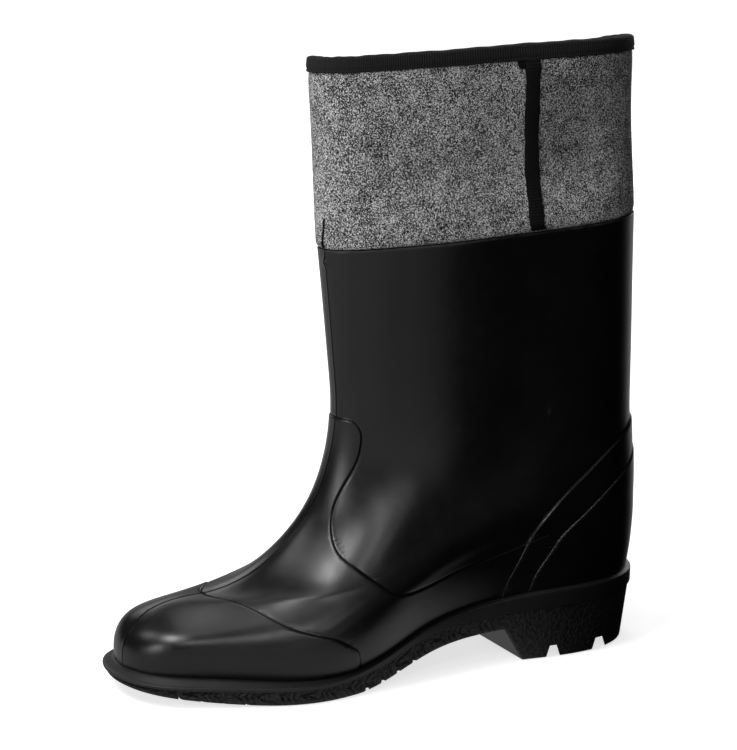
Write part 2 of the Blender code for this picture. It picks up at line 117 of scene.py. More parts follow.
FELT_SECTIONS = (
    (144.4, 238.6, -34.8, 230.4, 32.0, 37.4, 35.2, 22.8, 1.08, 1.12, 0.0, 2.0, 0.0),
    (144.0, 259.0, -35.8, 252.0, 30.0, 34.4, 32.8, 22.4, 1.08, 1.14, 0.0, 2.2, 1.0),
    (143.0, 289.0, -36.8, 285.0, 30.2, 34.6, 33.4, 23.0, 1.08, 1.16, 0.0, 2.6, 3.2),
    (142.6, 327.0, -38.6, 323.9, 31.0, 36.0, 34.8, 24.0, 1.08, 1.18, 0.0, 3.2, 7.4),
)
SOLE_SECTION = (
    SOLE_HEEL, 0.0, SOLE_TOE, 0.0, HEEL_HALF, WAIST_HALF, BALL_HALF, TOE_HALF, 1.3, 1.25, 1.0, 0.0, 0.0
)

# Edges of the moulded panels in side view, as (y, z)
VAMP_EDGE = (
    (-45.0, 137.2), (-27.0, 137.0), (-21.6, 135.9), (-18.8, 130.8), (-19.2, 123.5), (-22.4, 113.6),
    (-31.0, 97.3), (-36.4, 83.0), (-37.0, 70.5), (-30.2, 62.6), (-21.4, 53.2), (-10.4, 50.2),
    (8.0, 52.0), (26.0, 56.6), (46.0, 61.4), (68.0, 67.4), (80.0, 70.0),
)
STRIP_EDGE = (
    (53.0, 20.0), (54.5, 37.6), (59.2, 51.4), (66.2, 66.4), (74.2, 77.8), (89.0, 91.0),
    (104.5, 102.0), (118.5, 111.6), (133.0, 119.0), (146.0, 124.5), (175.0, 134.0),
)
CAP_EDGE = (
    (-115.0, 80.0), (-109.0, 58.0), (-105.0, 50.2), (-101.5, 48.1), (-96.5, 47.3), (-89.0, 46.2),
    (-79.4, 42.8), (-69.0, 38.4), (-55.0, 34.6), (-47.8, 32.0), (-39.6, 27.0), (-35.2, 20.0), (-33.0, 0.0),
)
COUNTER_EDGE = (
    (68.0, 20.0), (70.0, 41.0), (76.0, 54.5), (82.2, 63.8), (89.4, 71.4), (104.4, 82.0),
    (120.0, 92.6), (134.0, 101.0), (146.6, 109.0), (175.0, 122.0),
)
FAR = 190.0
# Each panel: its edge, the far corners that close it, how far it stands out and how wide its step is
PANELS = {
    "vamp": (VAMP_EDGE, ((80.0, 0.0), (-FAR, 0.0), (-FAR, 137.2)), 0.6, 0.9),
    "cap": (CAP_EDGE, ((-FAR, 0.0), (-FAR, 80.0)), 1.0, 0.9),
    "strip": (STRIP_EDGE, ((FAR, 20.0),), 1.1, 0.9),
    "counter": (COUNTER_EDGE, ((FAR, 20.0),), 1.7, 0.9),
}


def spline(stations, values):
    """Natural cubic spline through rows of values, as a function of the station."""
    x = np.asarray(stations, float)
    y = np.asarray(values, float).reshape(len(x), -1)
    h = np.diff(x)
    system = np.eye(len(x))
    rhs = np.zeros_like(y)
    for i in range(1, len(x) - 1):
        system[i, i - 1 : i + 2] = h[i - 1], 2 * (h[i - 1] + h[i]), h[i]
        rhs[i] = 6 * ((y[i + 1] - y[i]) / h[i] - (y[i] - y[i - 1]) / h[i - 1])
    bend = np.linalg.solve(system, rhs)

    def at(t):
        t = np.clip(np.atleast_1d(np.asarray(t, float)), x[0], x[-1])
        i = np.clip(np.searchsorted(x, t, side="right") - 1, 0, len(x) - 2)
        a = ((x[i + 1] - t) / h[i])[:, None]
        b = 1 - a
        curve = ((a**3 - a) * bend[i] + (b**3 - b) * bend[i + 1]) * (h[i] ** 2)[:, None] / 6
        return a * y[i] + b * y[i + 1] + curve

    return at


def profile(table, column="z"):
    """A measure along the foot, from a table with a column y and a named column."""
    curve = spline(table["y"], table[column])
    return lambda y: curve(y)[:, 0]


sole_top = profile(SOLE_TOP)
sole_arch = profile(SOLE_UNDER)
sole_band = profile(SOLE_BAND)
seat_rise = profile(SOLE_SEAT, "rise")
seat_inset = profile(SOLE_SEAT, "inset")
width_shares = spline((-1, *WIDTH_STATIONS, 1), np.eye(len(WIDTH_STATIONS) + 2))


def sole_seat(y):
    return sole_top(y) + seat_rise(y)


def sole_under(y):
    breast = np.clip((y - HEEL_BREAST_TOP) / (HEEL_BREAST_FOOT - HEEL_BREAST_TOP), 0, 1)
    return np.clip(sole_arch(y), 0, None) * (1 - breast)


def swing(y):
    """Sideways curve of the foot's middle line."""
    forward = np.clip((TOE_SWING_FROM - y) / TOE_SWING_SPAN, 0, 1)
    return HEEL_SWING * np.clip(y / SOLE_HEEL, 0, 1) - TOE_SWING * forward**2 * (3 - 2 * forward)


def section_curve(sections):
    """Sections blended up the boot, as a function from 0 (first section) to 1 (last)."""
    rows = np.array(sections)
    back, front = rows[:, 0:2], rows[:, 2:4]
    steps = np.linalg.norm(np.diff(back, axis=0), axis=1) + np.linalg.norm(np.diff(front, axis=0), axis=1)
    stations = np.concatenate([[0], np.cumsum(steps)])
    return spline(stations / stations[-1], rows)


upper_section = section_curve(UPPER_SECTIONS)
felt_section = section_curve(FELT_SECTIONS)


def sole_section(t):
    return np.tile(SOLE_SECTION, (len(np.atleast_1d(t)), 1))


def over_last(sections, t, angle):
    """Points of a lofted form, at shares t of its height and angles round it."""
    angle = np.asarray(angle, float)
    s = dict(zip(SECTION_COLUMNS, sections(t).T))
    along = np.cos(angle)
    side = np.sin(angle)
    share = (1 + along) / 2
    y = s["back_y"] + (s["front_y"] - s["back_y"]) * share
    chord = s["back_z"] + (s["front_z"] - s["back_z"]) * share
    back, front = sole_seat(s["back_y"]), sole_seat(s["front_y"])
    dip = sole_seat(y) - (back + (front - back) * share)
    z = chord + s["follow"] * dip + s["tilt"] * side - s["droop"] * np.clip(side, None, 0) ** 2
    full = [s[w] / math.sqrt(1 - c * c) for w, c in zip(("heel", "waist", "ball", "toe"), WIDTH_STATIONS)]
    full = np.stack([full[0] * s["blunt_back"], *full, full[-1] * s["blunt_front"]], axis=1)
    skewed = along - np.sign(side) * SIDE_SKEW * s["follow"] * side**2
    half = (width_shares(skewed) * full).sum(axis=1)
    return np.stack([swing(y) + side * half, y, z], axis=1)


# Steps over which a form's slopes are measured
TURN_STEP = 0.01
CLIMB_STEP = 0.004


def outward(sections, t, angle):
    """Unit normals of a lofted form, pointing out of the boot."""
    around = over_last(sections, t, angle + TURN_STEP) - over_last(sections, t, angle - TURN_STEP)
    above = over_last(sections, np.clip(t + CLIMB_STEP, 0, 1), angle)
    below = over_last(sections, np.clip(t - CLIMB_STEP, 0, 1), angle)
    normal = np.cross(around, above - below)
    return normal / np.linalg.norm(normal, axis=1, keepdims=True)


def inset(points, distance):
    """A closed ring moved inwards in plan by a distance, keeping its heights."""
    tangent = np.roll(points, -1, axis=0)[:, :2] - np.roll(points, 1, axis=0)[:, :2]
    inward = np.stack([-tangent[:, 1], tangent[:, 0]], axis=1)
    inward /= np.linalg.norm(inward, axis=1, keepdims=True)
    moved = points.copy()
    moved[:, :2] += inward * np.asarray(distance).reshape(-1, 1)
    return moved


def middle(line):
    """The middle line of a closed ring whose two sides have the same angles."""
    return (line + np.roll(line[::-1], 1, axis=0)) / 2


def ease(x, low, high):
    """Smooth rise from 0 at low to 1 at high."""
    s = np.clip((x - low) / (high - low), 0, 1)
    return s * s * (3 - 2 * s)


def ring_angles(count):
    return np.linspace(0, TAU, count, endpoint=False)


def steps(count, end=1.0):
    """Even steps from 0 that stop short of the end."""
    return np.linspace(0, end, count, endpoint=False)


def ripple(x, waves):
    """Slight unevenness: a sum of sine waves, each with its depth, its pace and its start."""
    return sum(depth * np.sin(x * pace + start) for depth, pace, start in waves)


# Modelling helpers

SEAM_MERGE = 0.02


def deselect():
    if bpy.context.object and bpy.context.object.mode != "OBJECT":
        bpy.ops.object.mode_set(mode="OBJECT")
    bpy.ops.object.select_all(action="DESELECT")


def pick(piece):
    deselect()
    piece.select_set(True)
    bpy.context.view_layer.objects.active = piece


def flat_sheet(name, columns, rows):
    """A flat sheet one unit wide and high, cut into a grid, before it is pulled over its form."""
    deselect()
    bpy.ops.mesh.primitive_grid_add(
        x_subdivisions=columns, y_subdivisions=rows, size=1, location=(0.5, 0.5, 0)
    )
    piece = bpy.context.object
    piece.name = name
    bpy.ops.object.transform_apply(location=True, rotation=False, scale=False)
    return piece


def corners(piece):
    points = np.empty(len(piece.data.vertices) * 3, np.float32)
    piece.data.vertices.foreach_get("co", points)
    return points.reshape(-1, 3).astype(float)


def pull(piece, points):
    """Moves a sheet's corners to points in the boot's own measures."""
    placed = (points + np.array(TO_MIDDLE)) * MM
    piece.data.vertices.foreach_set("co", placed.astype(np.float32).ravel())
    piece.data.update()


def close_seams(piece, distance=SEAM_MERGE):
    """Merges the sheet's meeting edges and turns its faces outwards."""
    pick(piece)
    bpy.ops.object.mode_set(mode="EDIT")
    bpy.ops.mesh.select_all(action="SELECT")
    bpy.ops.mesh.remove_doubles(threshold=distance * MM)
    bpy.ops.mesh.normals_make_consistent(inside=False)
    bpy.ops.object.mode_set(mode="OBJECT")


def ring_piece(name, rings, merge=SEAM_MERGE):
    """A sheet pulled over a stack of closed rings, its rows on the rings in order, and closed."""
    rings = np.asarray(rings)
    rows, columns = len(rings) - 1, rings.shape[1]
    piece = flat_sheet(name, columns, rows)
    flat = corners(piece)
    row = np.rint(flat[:, 1] * rows).astype(int)
    column = np.rint(flat[:, 0] * columns).astype(int) % columns
    pull(piece, rings[row, column])
    close_seams(piece, merge)
    return piece


def finish_with(piece, kind, **settings):
    """Adds a modifier and applies it."""
    pick(piece)
    made = piece.modifiers.new(kind.title(), kind)
    for name, value in settings.items():
        setattr(made, name, value)
    bpy.ops.object.modifier_apply(modifier=made.name)


def thicken(piece, thickness):
    """Gives a sheet a wall on its inner side."""
    finish_with(piece, "SOLIDIFY", thickness=thickness * MM, offset=-1.0)


def smooth(piece, degrees):
    pick(piece)
    bpy.ops.object.shade_smooth_by_angle(angle=math.radians(degrees))


def note(piece, name, values):
    """Keeps a measure on the sheet's corners for its finish."""
    layer = piece.data.attributes.new(name, "FLOAT", "POINT")
    layer.data.foreach_set("value", np.asarray(values, np.float32))


def refine(piece, wanted):
    """Cuts the faces that are wanted in four."""
    pick(piece)
    bpy.ops.object.mode_set(mode="EDIT")
    bpy.ops.mesh.select_mode(type="FACE")
    bpy.ops.mesh.select_all(action="DESELECT")
    bpy.ops.object.mode_set(mode="OBJECT")
    piece.data.polygons.foreach_set("select", wanted)
    bpy.ops.object.mode_set(mode="EDIT")
    bpy.ops.mesh.subdivide(number_cuts=1, ngon=False)
    bpy.ops.object.mode_set(mode="OBJECT")


def face_middles(piece):
    middles = np.empty(len(piece.data.polygons) * 3, np.float32)
    piece.data.polygons.foreach_get("center", middles)
    return middles.reshape(-1, 3).astype(float)


def dress(piece, node, finish):
    """Rides on the boot, wears a finish and stands for a solid."""
    piece.data.materials.clear()
    piece.data.materials.append(finish)
    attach(piece, "root")
    if node:
        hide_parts(node)
    return piece


# Moulded panels

EDGE_PIECES = 8
STEEPEST_EDGE = 0.12


def eased(points):
    """A smooth line through points, cut into short pieces."""
    spans = len(points) - 1
    return spline(np.arange(spans + 1), points)(np.linspace(0, spans, EDGE_PIECES * spans + 1))


def inside_outline(y, z, outline):
    """True for points inside a closed side-view outline."""
    found = np.zeros(len(y), bool)
    for (y0, z0), (y1, z1) in zip(outline, np.roll(outline, -1, axis=0)):
        if z0 == z1:
            continue
        crosses = (z0 > z) != (z1 > z)
        found ^= crosses & (y < (y1 - y0) * (z - z0) / (z1 - z0) + y0)
    return found


def edge_distance(name, points, normals):
    """Distance over the surface from a panel's edge, positive on the panel."""
    edge, closing, _, _ = PANELS[name]
    line = eased(edge)
    place = points[:, 1:]
    best = np.full(len(points), 1e9)
    away = np.zeros_like(place)
    for a, b in zip(line, line[1:]):
        run = b - a
        share = np.clip((place - a) @ run / (run @ run), 0, 1)
        gap = place - (a + share[:, None] * run)
        reach = np.einsum("ij,ij->i", gap, gap)
        closer = reach < best
        best[closer] = reach[closer]
        away[closer] = gap[closer]
    best = np.sqrt(best)
    lean = np.einsum("ij,ij->i", away, normals[:, 1:]) / np.maximum(best, 1e-6)
    sign = np.where(inside_outline(place[:, 0], place[:, 1], np.vstack([line, closing])), 1.0, -1.0)
    return sign * best / np.sqrt(np.clip(1 - lean**2, STEEPEST_EDGE, 1))


# Soft swells and hollows of the moulded upper: angle (degrees), share of the height, half-widths of both
# and how far it stands out
UPPER_SWELLS = {
    "outer_ankle": (80.0, 0.30, 38.0, 0.16, 6.6),
    "outer_leg": (84.0, 0.60, 40.0, 0.17, 2.8),
    "outer_hollow": (122.0, 0.36, 17.0, 0.16, -2.2),
    "outer_heel": (120.0, 0.04, 20.0, 0.05, -1.2),
    "toe_shoulder": (44.0, 0.11, 36.0, 0.07, -1.7),
    "toe_crown": (-2.0, 0.18, 26.0, 0.06, 1.2),
    "vamp_shoulder": (46.0, 0.215, 24.0, 0.065, 2.2),
    "inner_vamp": (314.0, 0.215, 24.0, 0.065, 1.8),
    "inner_ankle": (278.0, 0.31, 34.0, 0.13, 0.8),
    "inner_leg": (272.0, 0.60, 36.0, 0.17, 0.8),
    "inner_hollow": (240.0, 0.44, 17.0, 0.12, -1.4),
    "inner_shoulder": (316.0, 0.11, 36.0, 0.07, -1.7),
    "sprue": (4.8, 0.972, 2.6, 0.010, 1.1),
}
FOOT_GROOVE = 0.16
FOOT_GROOVE_WIDTH = 0.45
MOULD_LINE = 0.22
MOULD_LINE_WIDTH = 0.7
# How far the mould's line runs to the outer side of the middle, up the front
MOULD_LINE_SHIFT = {
    "t": (0.0, 0.065, 0.125, 0.31, 0.63, 1.0),
    "shift": (3.8, 3.2, -1.0, 0.6, 3.0, 3.2),
}


def soft_waves(waves, t, angle):
    """Sum of the given swells and hollows at shares t of the height and angles."""
    total = np.zeros(len(t))
    turn = np.degrees(angle) % 360
    for at, height, wide, tall, depth in waves.values():
        off = (turn - at + 180) % 360 - 180
        total += depth * np.exp(-((off / wide) ** 2) - ((t - height) / tall) ** 2)
    return total


def mould_line_distance(points, t, angle):
    """Distance sideways from the line where the mould's halves met, front and back."""
    shift = np.interp(t, MOULD_LINE_SHIFT["t"], MOULD_LINE_SHIFT["shift"]) * (np.cos(angle) > 0)
    return points[:, 0] - swing(points[:, 1]) - shift


def upper_relief(points, normals, line_gap):
    """How far the moulded panels and lines stand out of the upper, and the distances from their edges."""
    gaps = {name: edge_distance(name, points, normals) for name in PANELS}
    relief = np.zeros(len(points))
    groove = np.zeros(len(points))
    for name, (_, _, height, step) in PANELS.items():
        relief = np.maximum(relief, height * ease(gaps[name], -step / 2, step / 2))
        foot = (gaps[name] + step / 2 + FOOT_GROOVE_WIDTH) / FOOT_GROOVE_WIDTH
        groove = np.maximum(groove, FOOT_GROOVE * np.exp(-foot * foot))
    line = line_gap / MOULD_LINE_WIDTH
    return relief - groove + MOULD_LINE * np.exp(-line * line), gaps


# Shader nodes


class Wire:
    """A socket of a material's nodes. Arithmetic on it adds Math nodes."""

    def __init__(self, tree, socket=None):
        self.tree = tree
        self.socket = socket

    def node(self, kind, settings=None, inputs=None, output=0):
        made = self.tree.nodes.new("ShaderNode" + kind)
        for name, value in (settings or {}).items():
            if name == "stops":
                ramp = made.color_ramp.elements
                while len(ramp) < len(value):
                    ramp.new(0.5)
                for stop, (place, shade) in zip(ramp, value):
                    stop.position = place
                    stop.color = (shade, shade, shade, 1) if isinstance(shade, float) else (*shade, 1)
            else:
                setattr(made, name, value)
        for name, value in (inputs or {}).items():
            if isinstance(value, Wire):
                self.tree.links.new(value.socket, made.inputs[name])
            else:
                made.inputs[name].default_value = value
        return Wire(self.tree, made.outputs[output])

    def math(self, operation, *terms):
        return self.node("Math", {"operation": operation}, dict(enumerate(terms)))

    def __add__(self, other):
        return self.math("ADD", self, other)

    def __radd__(self, other):
        return self.math("ADD", other, self)

    def __sub__(self, other):
        return self.math("SUBTRACT", self, other)

    def __rsub__(self, other):
        return self.math("SUBTRACT", other, self)

    def __mul__(self, other):
        return self.math("MULTIPLY", self, other)

    def __truediv__(self, other):
        return self.math("DIVIDE", self, other)

    def __abs__(self):
        return self.math("ABSOLUTE", self)

    def rise(self, low, high):
        """0 below low, 1 above high, smooth between."""
        inputs = {"Value": self, "From Min": low, "From Max": high}
        return self.node("MapRange", {"interpolation_type": "SMOOTHSTEP"}, inputs)

    def fall(self, low, high):
        """1 below low, 0 above high, smooth between."""
        return 1 - self.rise(low, high)


class Finish:
    """One material: a Principled shader and what feeds it."""

    def __init__(self, name, **constants):
        self.material = bpy.data.materials.new(name)
        self.material.use_nodes = True
        self.tree = self.material.node_tree
        self.shader = self.tree.nodes["Principled BSDF"]
        self.wire = Wire(self.tree)
        for socket, value in constants.items():
            self.shader.inputs[socket.replace("_", " ")].default_value = value

    def node(self, *given, **named):
        return self.wire.node(*given, **named)

    def place(self):
        return self.node("TexCoord", output="Object")

    def turned(self, scale, rotation):
        """Object coordinates, turned and then stretched."""
        spun = self.node("Mapping", None, {"Vector": self.place(), "Rotation": rotation})
        return self.node("Mapping", None, {"Vector": spun, "Scale": scale})

    def noise(self, scale, detail=2.0, roughness=0.5, vector=None):
        inputs = {"Scale": scale, "Detail": detail, "Roughness": roughness}
        return self.node("TexNoise", None, {"Vector": vector or self.place(), **inputs})

    def kept(self, name):
        """A measure kept on the mesh."""
        return self.node("Attribute", {"attribute_name": name}, output="Fac")

    def first_two(self, vector):
        """The first two parts of a vector."""
        split = self.node("SeparateXYZ", None, {"Vector": vector})
        return split, Wire(self.tree, split.socket.node.outputs[1])

    def uv(self):
        return self.first_two(self.node("UVMap"))

    def mix(self, factor, first, second):
        """A colour between two colours."""
        sockets = {0: factor, 6: first, 7: second}
        sockets = {k: v if isinstance(v, Wire) or k == 0 else (*v, 1.0) for k, v in sockets.items()}
        return self.node("Mix", {"data_type": "RGBA"}, sockets, output=2)

    def bump(self, *layers):
        """Bump layers, each a height from 0 to 1 and the depth in millimetres that it stands for."""
        normal = None
        for height, depth in layers:
            inputs = {"Height": height, "Distance": depth * MM, "Strength": 1.0}
            if normal:
                inputs["Normal"] = normal
            normal = self.node("Bump", None, inputs)
        self.feed("Normal", normal)

    def feed(self, socket, wire):
        self.tree.links.new(wire.socket, self.shader.inputs[socket])

    def paint_crack_shade(self, share):
        """Paints shade: lets a dull black show through by a share, standing for the shade in cracks too
        fine to model.
        """
        painted_shade = self.node("BsdfDiffuse", None, {"Color": (0.001, 0.001, 0.001, 1.0)})
        skin = Wire(self.tree, self.shader.outputs[0])
        mixed = self.node("MixShader", None, {0: share, 1: skin, 2: painted_shade})
        self.tree.links.new(mixed.socket, self.tree.nodes["Material Output"].inputs["Surface"])


# Finishes


def satin_rubber():
    """Near-black moulded rubber: soft sheen, faint grain, crisp panel lines and a few light scuffs; the
    dark of the panel lines and of the mould's line is painted shade, and a lighter line along the rim's top
    edge is a painted highlight.
    """
    f = Finish("satin_rubber", Metallic=0.0, IOR=1.5)
    cloud = f.noise(38.0, 3.0)
    haze = f.noise(150.0, 5.0, 0.65)
    streaks = f.noise(60.0, 4.0, 0.6, f.turned((1.0, 9.0, 1.6), (0.5, 0.3, 0.9)))
    scuff = streaks.rise(0.63, 0.74) * haze.rise(0.5, 0.68)
    dust = f.noise(700.0, 2.0).rise(0.73, 0.8) * cloud.rise(0.45, 0.7)
    # Painted shade along the mould's line.
    seam = abs(f.kept("mould_line") - 0.5).fall(0.2, 0.6)
    gaps = [f.kept(name + "_gap") for name in PANELS]
    edges = sum((gap.rise(-0.25, 0.2) for gap in gaps[1:]), gaps[0].rise(-0.25, 0.2))
    # Painted shade: a thin dark line at the foot of each panel's step.
    lines = abs(gaps[0] + 0.4).fall(0.1, 0.42)
    for gap in gaps[1:]:
        lines = f.wire.math("MAXIMUM", lines, abs(gap + 0.4).fall(0.1, 0.42))
    # Painted highlight: a thin lighter line along the rubber's top edge.
    rim = f.kept("rim_gap").fall(0.2, 0.9)
    colour = f.mix(cloud.rise(0.35, 0.7), (0.0032, 0.0032, 0.0033), (0.0048, 0.0048, 0.0050))
    colour = f.mix(scuff * 0.16 + dust * 0.10, colour, (0.060, 0.060, 0.062))
    # The rim's painted highlight, broken up by the haze.
    colour = f.mix(rim * haze.rise(0.35, 0.6) * 0.5, colour, (0.060, 0.060, 0.062))
    f.feed("Base Color", colour)
    f.feed("Roughness", 0.29 + haze.rise(0.35, 0.75) * 0.05 + scuff * 0.16)
    # The dull black mixed in along the mould's line and the panels' feet is painted shade.
    f.paint_crack_shade(f.wire.math("MAXIMUM", seam * 0.6, lines * 0.7))
    f.bump(
        (f.noise(45.0, 2.0), 0.10),
        (edges, 0.35),
        (f.noise(420.0, 2.0), 0.016),
        (f.noise(2300.0, 2.0), 0.012),
    )
    return f.material


def sole_rubber():
    """Sole rubber, duller than the upper: smooth band, chevron-cut forefoot edge and pebbled heel, with
    painted shade in the edge's cuts and pitted skin and in the heel's hollows.
    """
    f = Finish("sole_rubber", Metallic=0.0, IOR=1.5)
    u, v = f.uv()
    _, y = f.first_two(f.place())
    heel = y.rise(0.050, 0.064)
    side = v.rise(SIDE_LOW - 0.01, SIDE_LOW) * v.fall(SIDE_HIGH - 0.006, SIDE_HIGH + 0.006)
    run = u * (SOLE_AROUND_MM / CHEVRON_PITCH)
    climb = (v - SIDE_FOOT) / (SIDE_HIGH - SIDE_FOOT)
    wander = f.wire.math("SINE", run * CHEVRON_WAVE) * CHEVRON_WANDER
    teeth = f.wire.math("FRACT", run - abs(climb - 0.5) * CHEVRON_POINT + wander)
    cut = teeth.rise(*CHEVRON_STOPS[:2]) * teeth.fall(*CHEVRON_STOPS[2:])
    # Painted shade in the zigzag cuts along the forefoot's edge.
    chevron_shade = cut * side * (1 - heel)
    grain = f.noise(520.0, 3.0, 0.6)
    pebble = f.node("TexVoronoi", {"feature": "SMOOTH_F1"}, {"Vector": f.place(), "Scale": 620.0})
    pebbled = pebble * side * heel
    rough_edge = f.noise(420.0, 4.0, 0.7) * side * (1 - heel)
    cloud = f.noise(45.0, 4.0)
    colour = f.mix(cloud.rise(0.35, 0.7), (0.0045, 0.0045, 0.0046), (0.0075, 0.0075, 0.0077))
    colour = f.mix(side * grain.rise(0.52, 0.7) * 0.3, colour, (0.05, 0.05, 0.05))
    f.feed("Base Color", colour)
    f.feed("Roughness", 0.46 + side * 0.14 + grain * 0.08)
    # Painted shade in the forefoot edge's pitted skin and between the heel's pebbles.
    pit_shade = grain.fall(0.36, 0.5) * side * (1 - heel)
    hollows = pebble.fall(0.15, 0.5) * side * heel
    # The dull black mixed in here is painted shade.
    f.paint_crack_shade(f.wire.math("MAXIMUM", chevron_shade * 0.45, pit_shade * 0.5 + hollows * 0.4))
    f.bump((pebbled, 0.7), (rough_edge, 0.5), (grain, 0.05))
    return f.material


def wool_felt(name="wool_felt", light=(0.80, 0.80, 0.805), dark=(0.010, 0.010, 0.0105)):
    """Grey felt: light and dark wool pressed together, salt and pepper from hair to hair."""
    f = Finish(
        name,
        Metallic=0.0,
        Roughness=0.95,
        Specular_IOR_Level=0.12,
        Sheen_Weight=0.08,
        Sheen_Roughness=0.6,
    )
    slant = f.noise(760.0, 1.0, 0.5, f.turned((1.0, 2.6, 1.2), (0.0, 0.7, 0.8)))
    cross = f.noise(760.0, 1.0, 0.5, f.turned((1.2, 1.0, 2.6), (0.6, 0.0, -0.5)))
    grain = f.noise(1500.0, 1.0, 0.5)
    fleck = f.noise(2600.0, 1.0, 0.5)
    tuft = f.noise(130.0, 3.0, 0.6)
    cloud = f.noise(26.0, 2.0)
    hairs = (slant + cross - 1.0) * 0.5 + (grain - 0.5) * 1.7 + (fleck - 0.5) * 1.5
    shade = 0.5 + hairs * 1.15 + (tuft - 0.5) * 0.55 + (cloud - 0.5) * 0.3
    stops = ((0.22, dark), (0.43, (0.058, 0.058, 0.059)), (0.58, (0.23, 0.23, 0.232)), (0.78, light))
    f.feed("Base Color", f.node("ValToRGB", {"stops": stops}, {0: shade}))
    f.bump((tuft, 0.45), (grain, 0.30), (slant, 0.25), (fleck, 0.12))
    return f.material


def knit_tape(name, ribs, along_u, shade):
    """Black knitted tape: fine ribs with a fuzzy surface, painted lighter on the tops of its ribs and loops
    and darker in their troughs as shade.
    """
    f = Finish(name, Metallic=0.0, Specular_IOR_Level=0.2, Sheen_Weight=0.03)
    u, v = f.uv()
    run = u if along_u else v
    cross = v if along_u else u
    wander = f.noise(300.0, 2.0) * 0.35
    rib = f.wire.math("PINGPONG", run * ribs + wander, 0.5) * 2
    loops = f.wire.math("PINGPONG", cross * (ribs * 0.09) + rib * 0.4, 0.5) * 2
    fuzz = f.noise(1500.0, 3.0, 0.7)
    cloud = f.noise(60.0, 3.0)
    # Painted shade: the colour follows the relief, darker in the troughs between ribs and loops and lighter
    # on their tops.
    lift = rib * 0.55 + loops * 0.2 + fuzz * 0.25
    colour = f.mix(lift.rise(0.25, 0.85), (0.0015, 0.0015, 0.0015), (shade, shade, shade))
    colour = f.mix(fuzz.rise(0.62, 0.78) * cloud.rise(0.4, 0.7) * 0.4, colour, (shade * 2.6,) * 3)
    f.feed("Base Color", colour)
    f.feed("Roughness", 0.72 + fuzz * 0.2)
    f.bump((rib, 0.32), (loops, 0.12), (fuzz, 0.2))
    return f.material


# Pieces

UPPER_AROUND = 168
UPPER_UP = 110
# How near the panels' edges the upper's faces are cut finer, once and again, and its lines' share of that
REFINE_REACHES = (2.6, 1.1)
REFINE_LINE = 0.7
RIM_BEVEL = 0.5
NOTED_GAP = 30.0


def laid_on_upper(flat):
    """Where places on the flat sheet come to lie: share of the height, angle, point and normal."""
    t, angle = flat[:, 1], flat[:, 0] * TAU
    return t, angle, over_last(upper_section, t, angle), outward(upper_section, t, angle)


def weigh_rims(piece, outer_count):
    """Marks the edges along the wall's top and foot, on its outer and inner face, for their bevel."""
    mesh = piece.data
    ends = np.empty(len(mesh.edges) * 2, np.int32)
    mesh.edges.foreach_get("vertices", ends)
    ends = ends.reshape(-1, 2)
    share = np.empty(len(mesh.vertices), np.float32)
    mesh.attributes["share"].data.foreach_get("value", share)
    at_rim = (share < 1e-4) | (share > 1 - 1e-4)
    on_one_face = (ends[:, 0] < outer_count) == (ends[:, 1] < outer_count)
    weight = mesh.attributes.new("bevel_weight_edge", "FLOAT", "EDGE")
    weight.data.foreach_set("value", (at_rim[ends].all(axis=1) & on_one_face).astype(np.float32))


def rubber_upper(finish):
    """The moulded foot and leg: a sheet pulled over the last, cut finer along its panels, with a wall."""
    piece = flat_sheet("rubber_upper", UPPER_AROUND, UPPER_UP)
    for reach in REFINE_REACHES:
        flat = face_middles(piece)
        t, angle, points, normals = laid_on_upper(flat)
        gaps = [np.abs(edge_distance(name, points, normals)) for name in PANELS]
        near_line = np.abs(mould_line_distance(points, t, angle)) < reach * REFINE_LINE
        at_seam = np.abs(flat[:, 0] - 0.5) > 0.5 - 1 / UPPER_AROUND
        refine(piece, (np.min(gaps, axis=0) < reach) | near_line | at_seam)
    t, angle, points, normals = laid_on_upper(corners(piece))
    line_gap = mould_line_distance(points, t, angle)
    relief, gaps = upper_relief(points, normals, line_gap)
    relief += soft_waves(UPPER_SWELLS, t, angle)
    note(piece, "share", t)
    note(piece, "mould_line", line_gap)
    note(piece, "rim_gap", (over_last(upper_section, np.ones(len(t)), angle) - points)[:, 2])
    for name, gap in gaps.items():
        note(piece, name + "_gap", np.clip(gap, -NOTED_GAP, NOTED_GAP))
    pull(piece, points + normals * relief[:, None])
    close_seams(piece)
    outer_count = len(piece.data.vertices)
    thicken(piece, RUBBER_WALL)
    weigh_rims(piece, outer_count)
    finish_with(piece, "BEVEL", width=RIM_BEVEL * MM, segments=2, limit_method="WEIGHT")
    smooth(piece, 60)
    return dress(piece, "upper", finish)


SOLE_COLUMNS = 1040
LEDGE_ROUND = 0.6
LEDGE_IN = 10.0
BAND_LEAN = 0.2
BAND_STEP = 1.2
BAND_STEP_FALL = 0.5
EDGE_CHAMFER = 2.4
HEEL_TAPER = 0.12
CHEVRON_PITCH = 5.6
CHEVRON_DEPTH = 0.65
CHEVRON_POINT = 1.1
CHEVRON_WANDER = 0.55
CHEVRON_WAVE = 1.7
CHEVRON_STOPS = (0.0, 0.1, 0.2, 0.32)
EDGE_ROUGH = 0.2
EDGE_SEED = 7
EDGE_FADE = 0.15
EDGE_CUTS_END = (40.0, 55.0)
SOLE_MERGE = 0.001


def even_angles(count):
    """Angles that cut the sole's edge into even lengths, the same on both sides, and the edge's length."""
    fine = np.linspace(0, math.pi, 2001)
    outline = over_last(sole_section, np.zeros(len(fine)), fine)
    run = np.concatenate([[0], np.cumsum(np.linalg.norm(np.diff(outline[:, :2], axis=0), axis=1))])
    outer = np.interp(np.linspace(0, run[-1], count // 2 + 1), run, fine)
    return np.concatenate([outer, TAU - outer[-2:0:-1]]), 2 * run[-1]


SOLE_ANGLES, SOLE_AROUND_MM = even_angles(SOLE_COLUMNS)
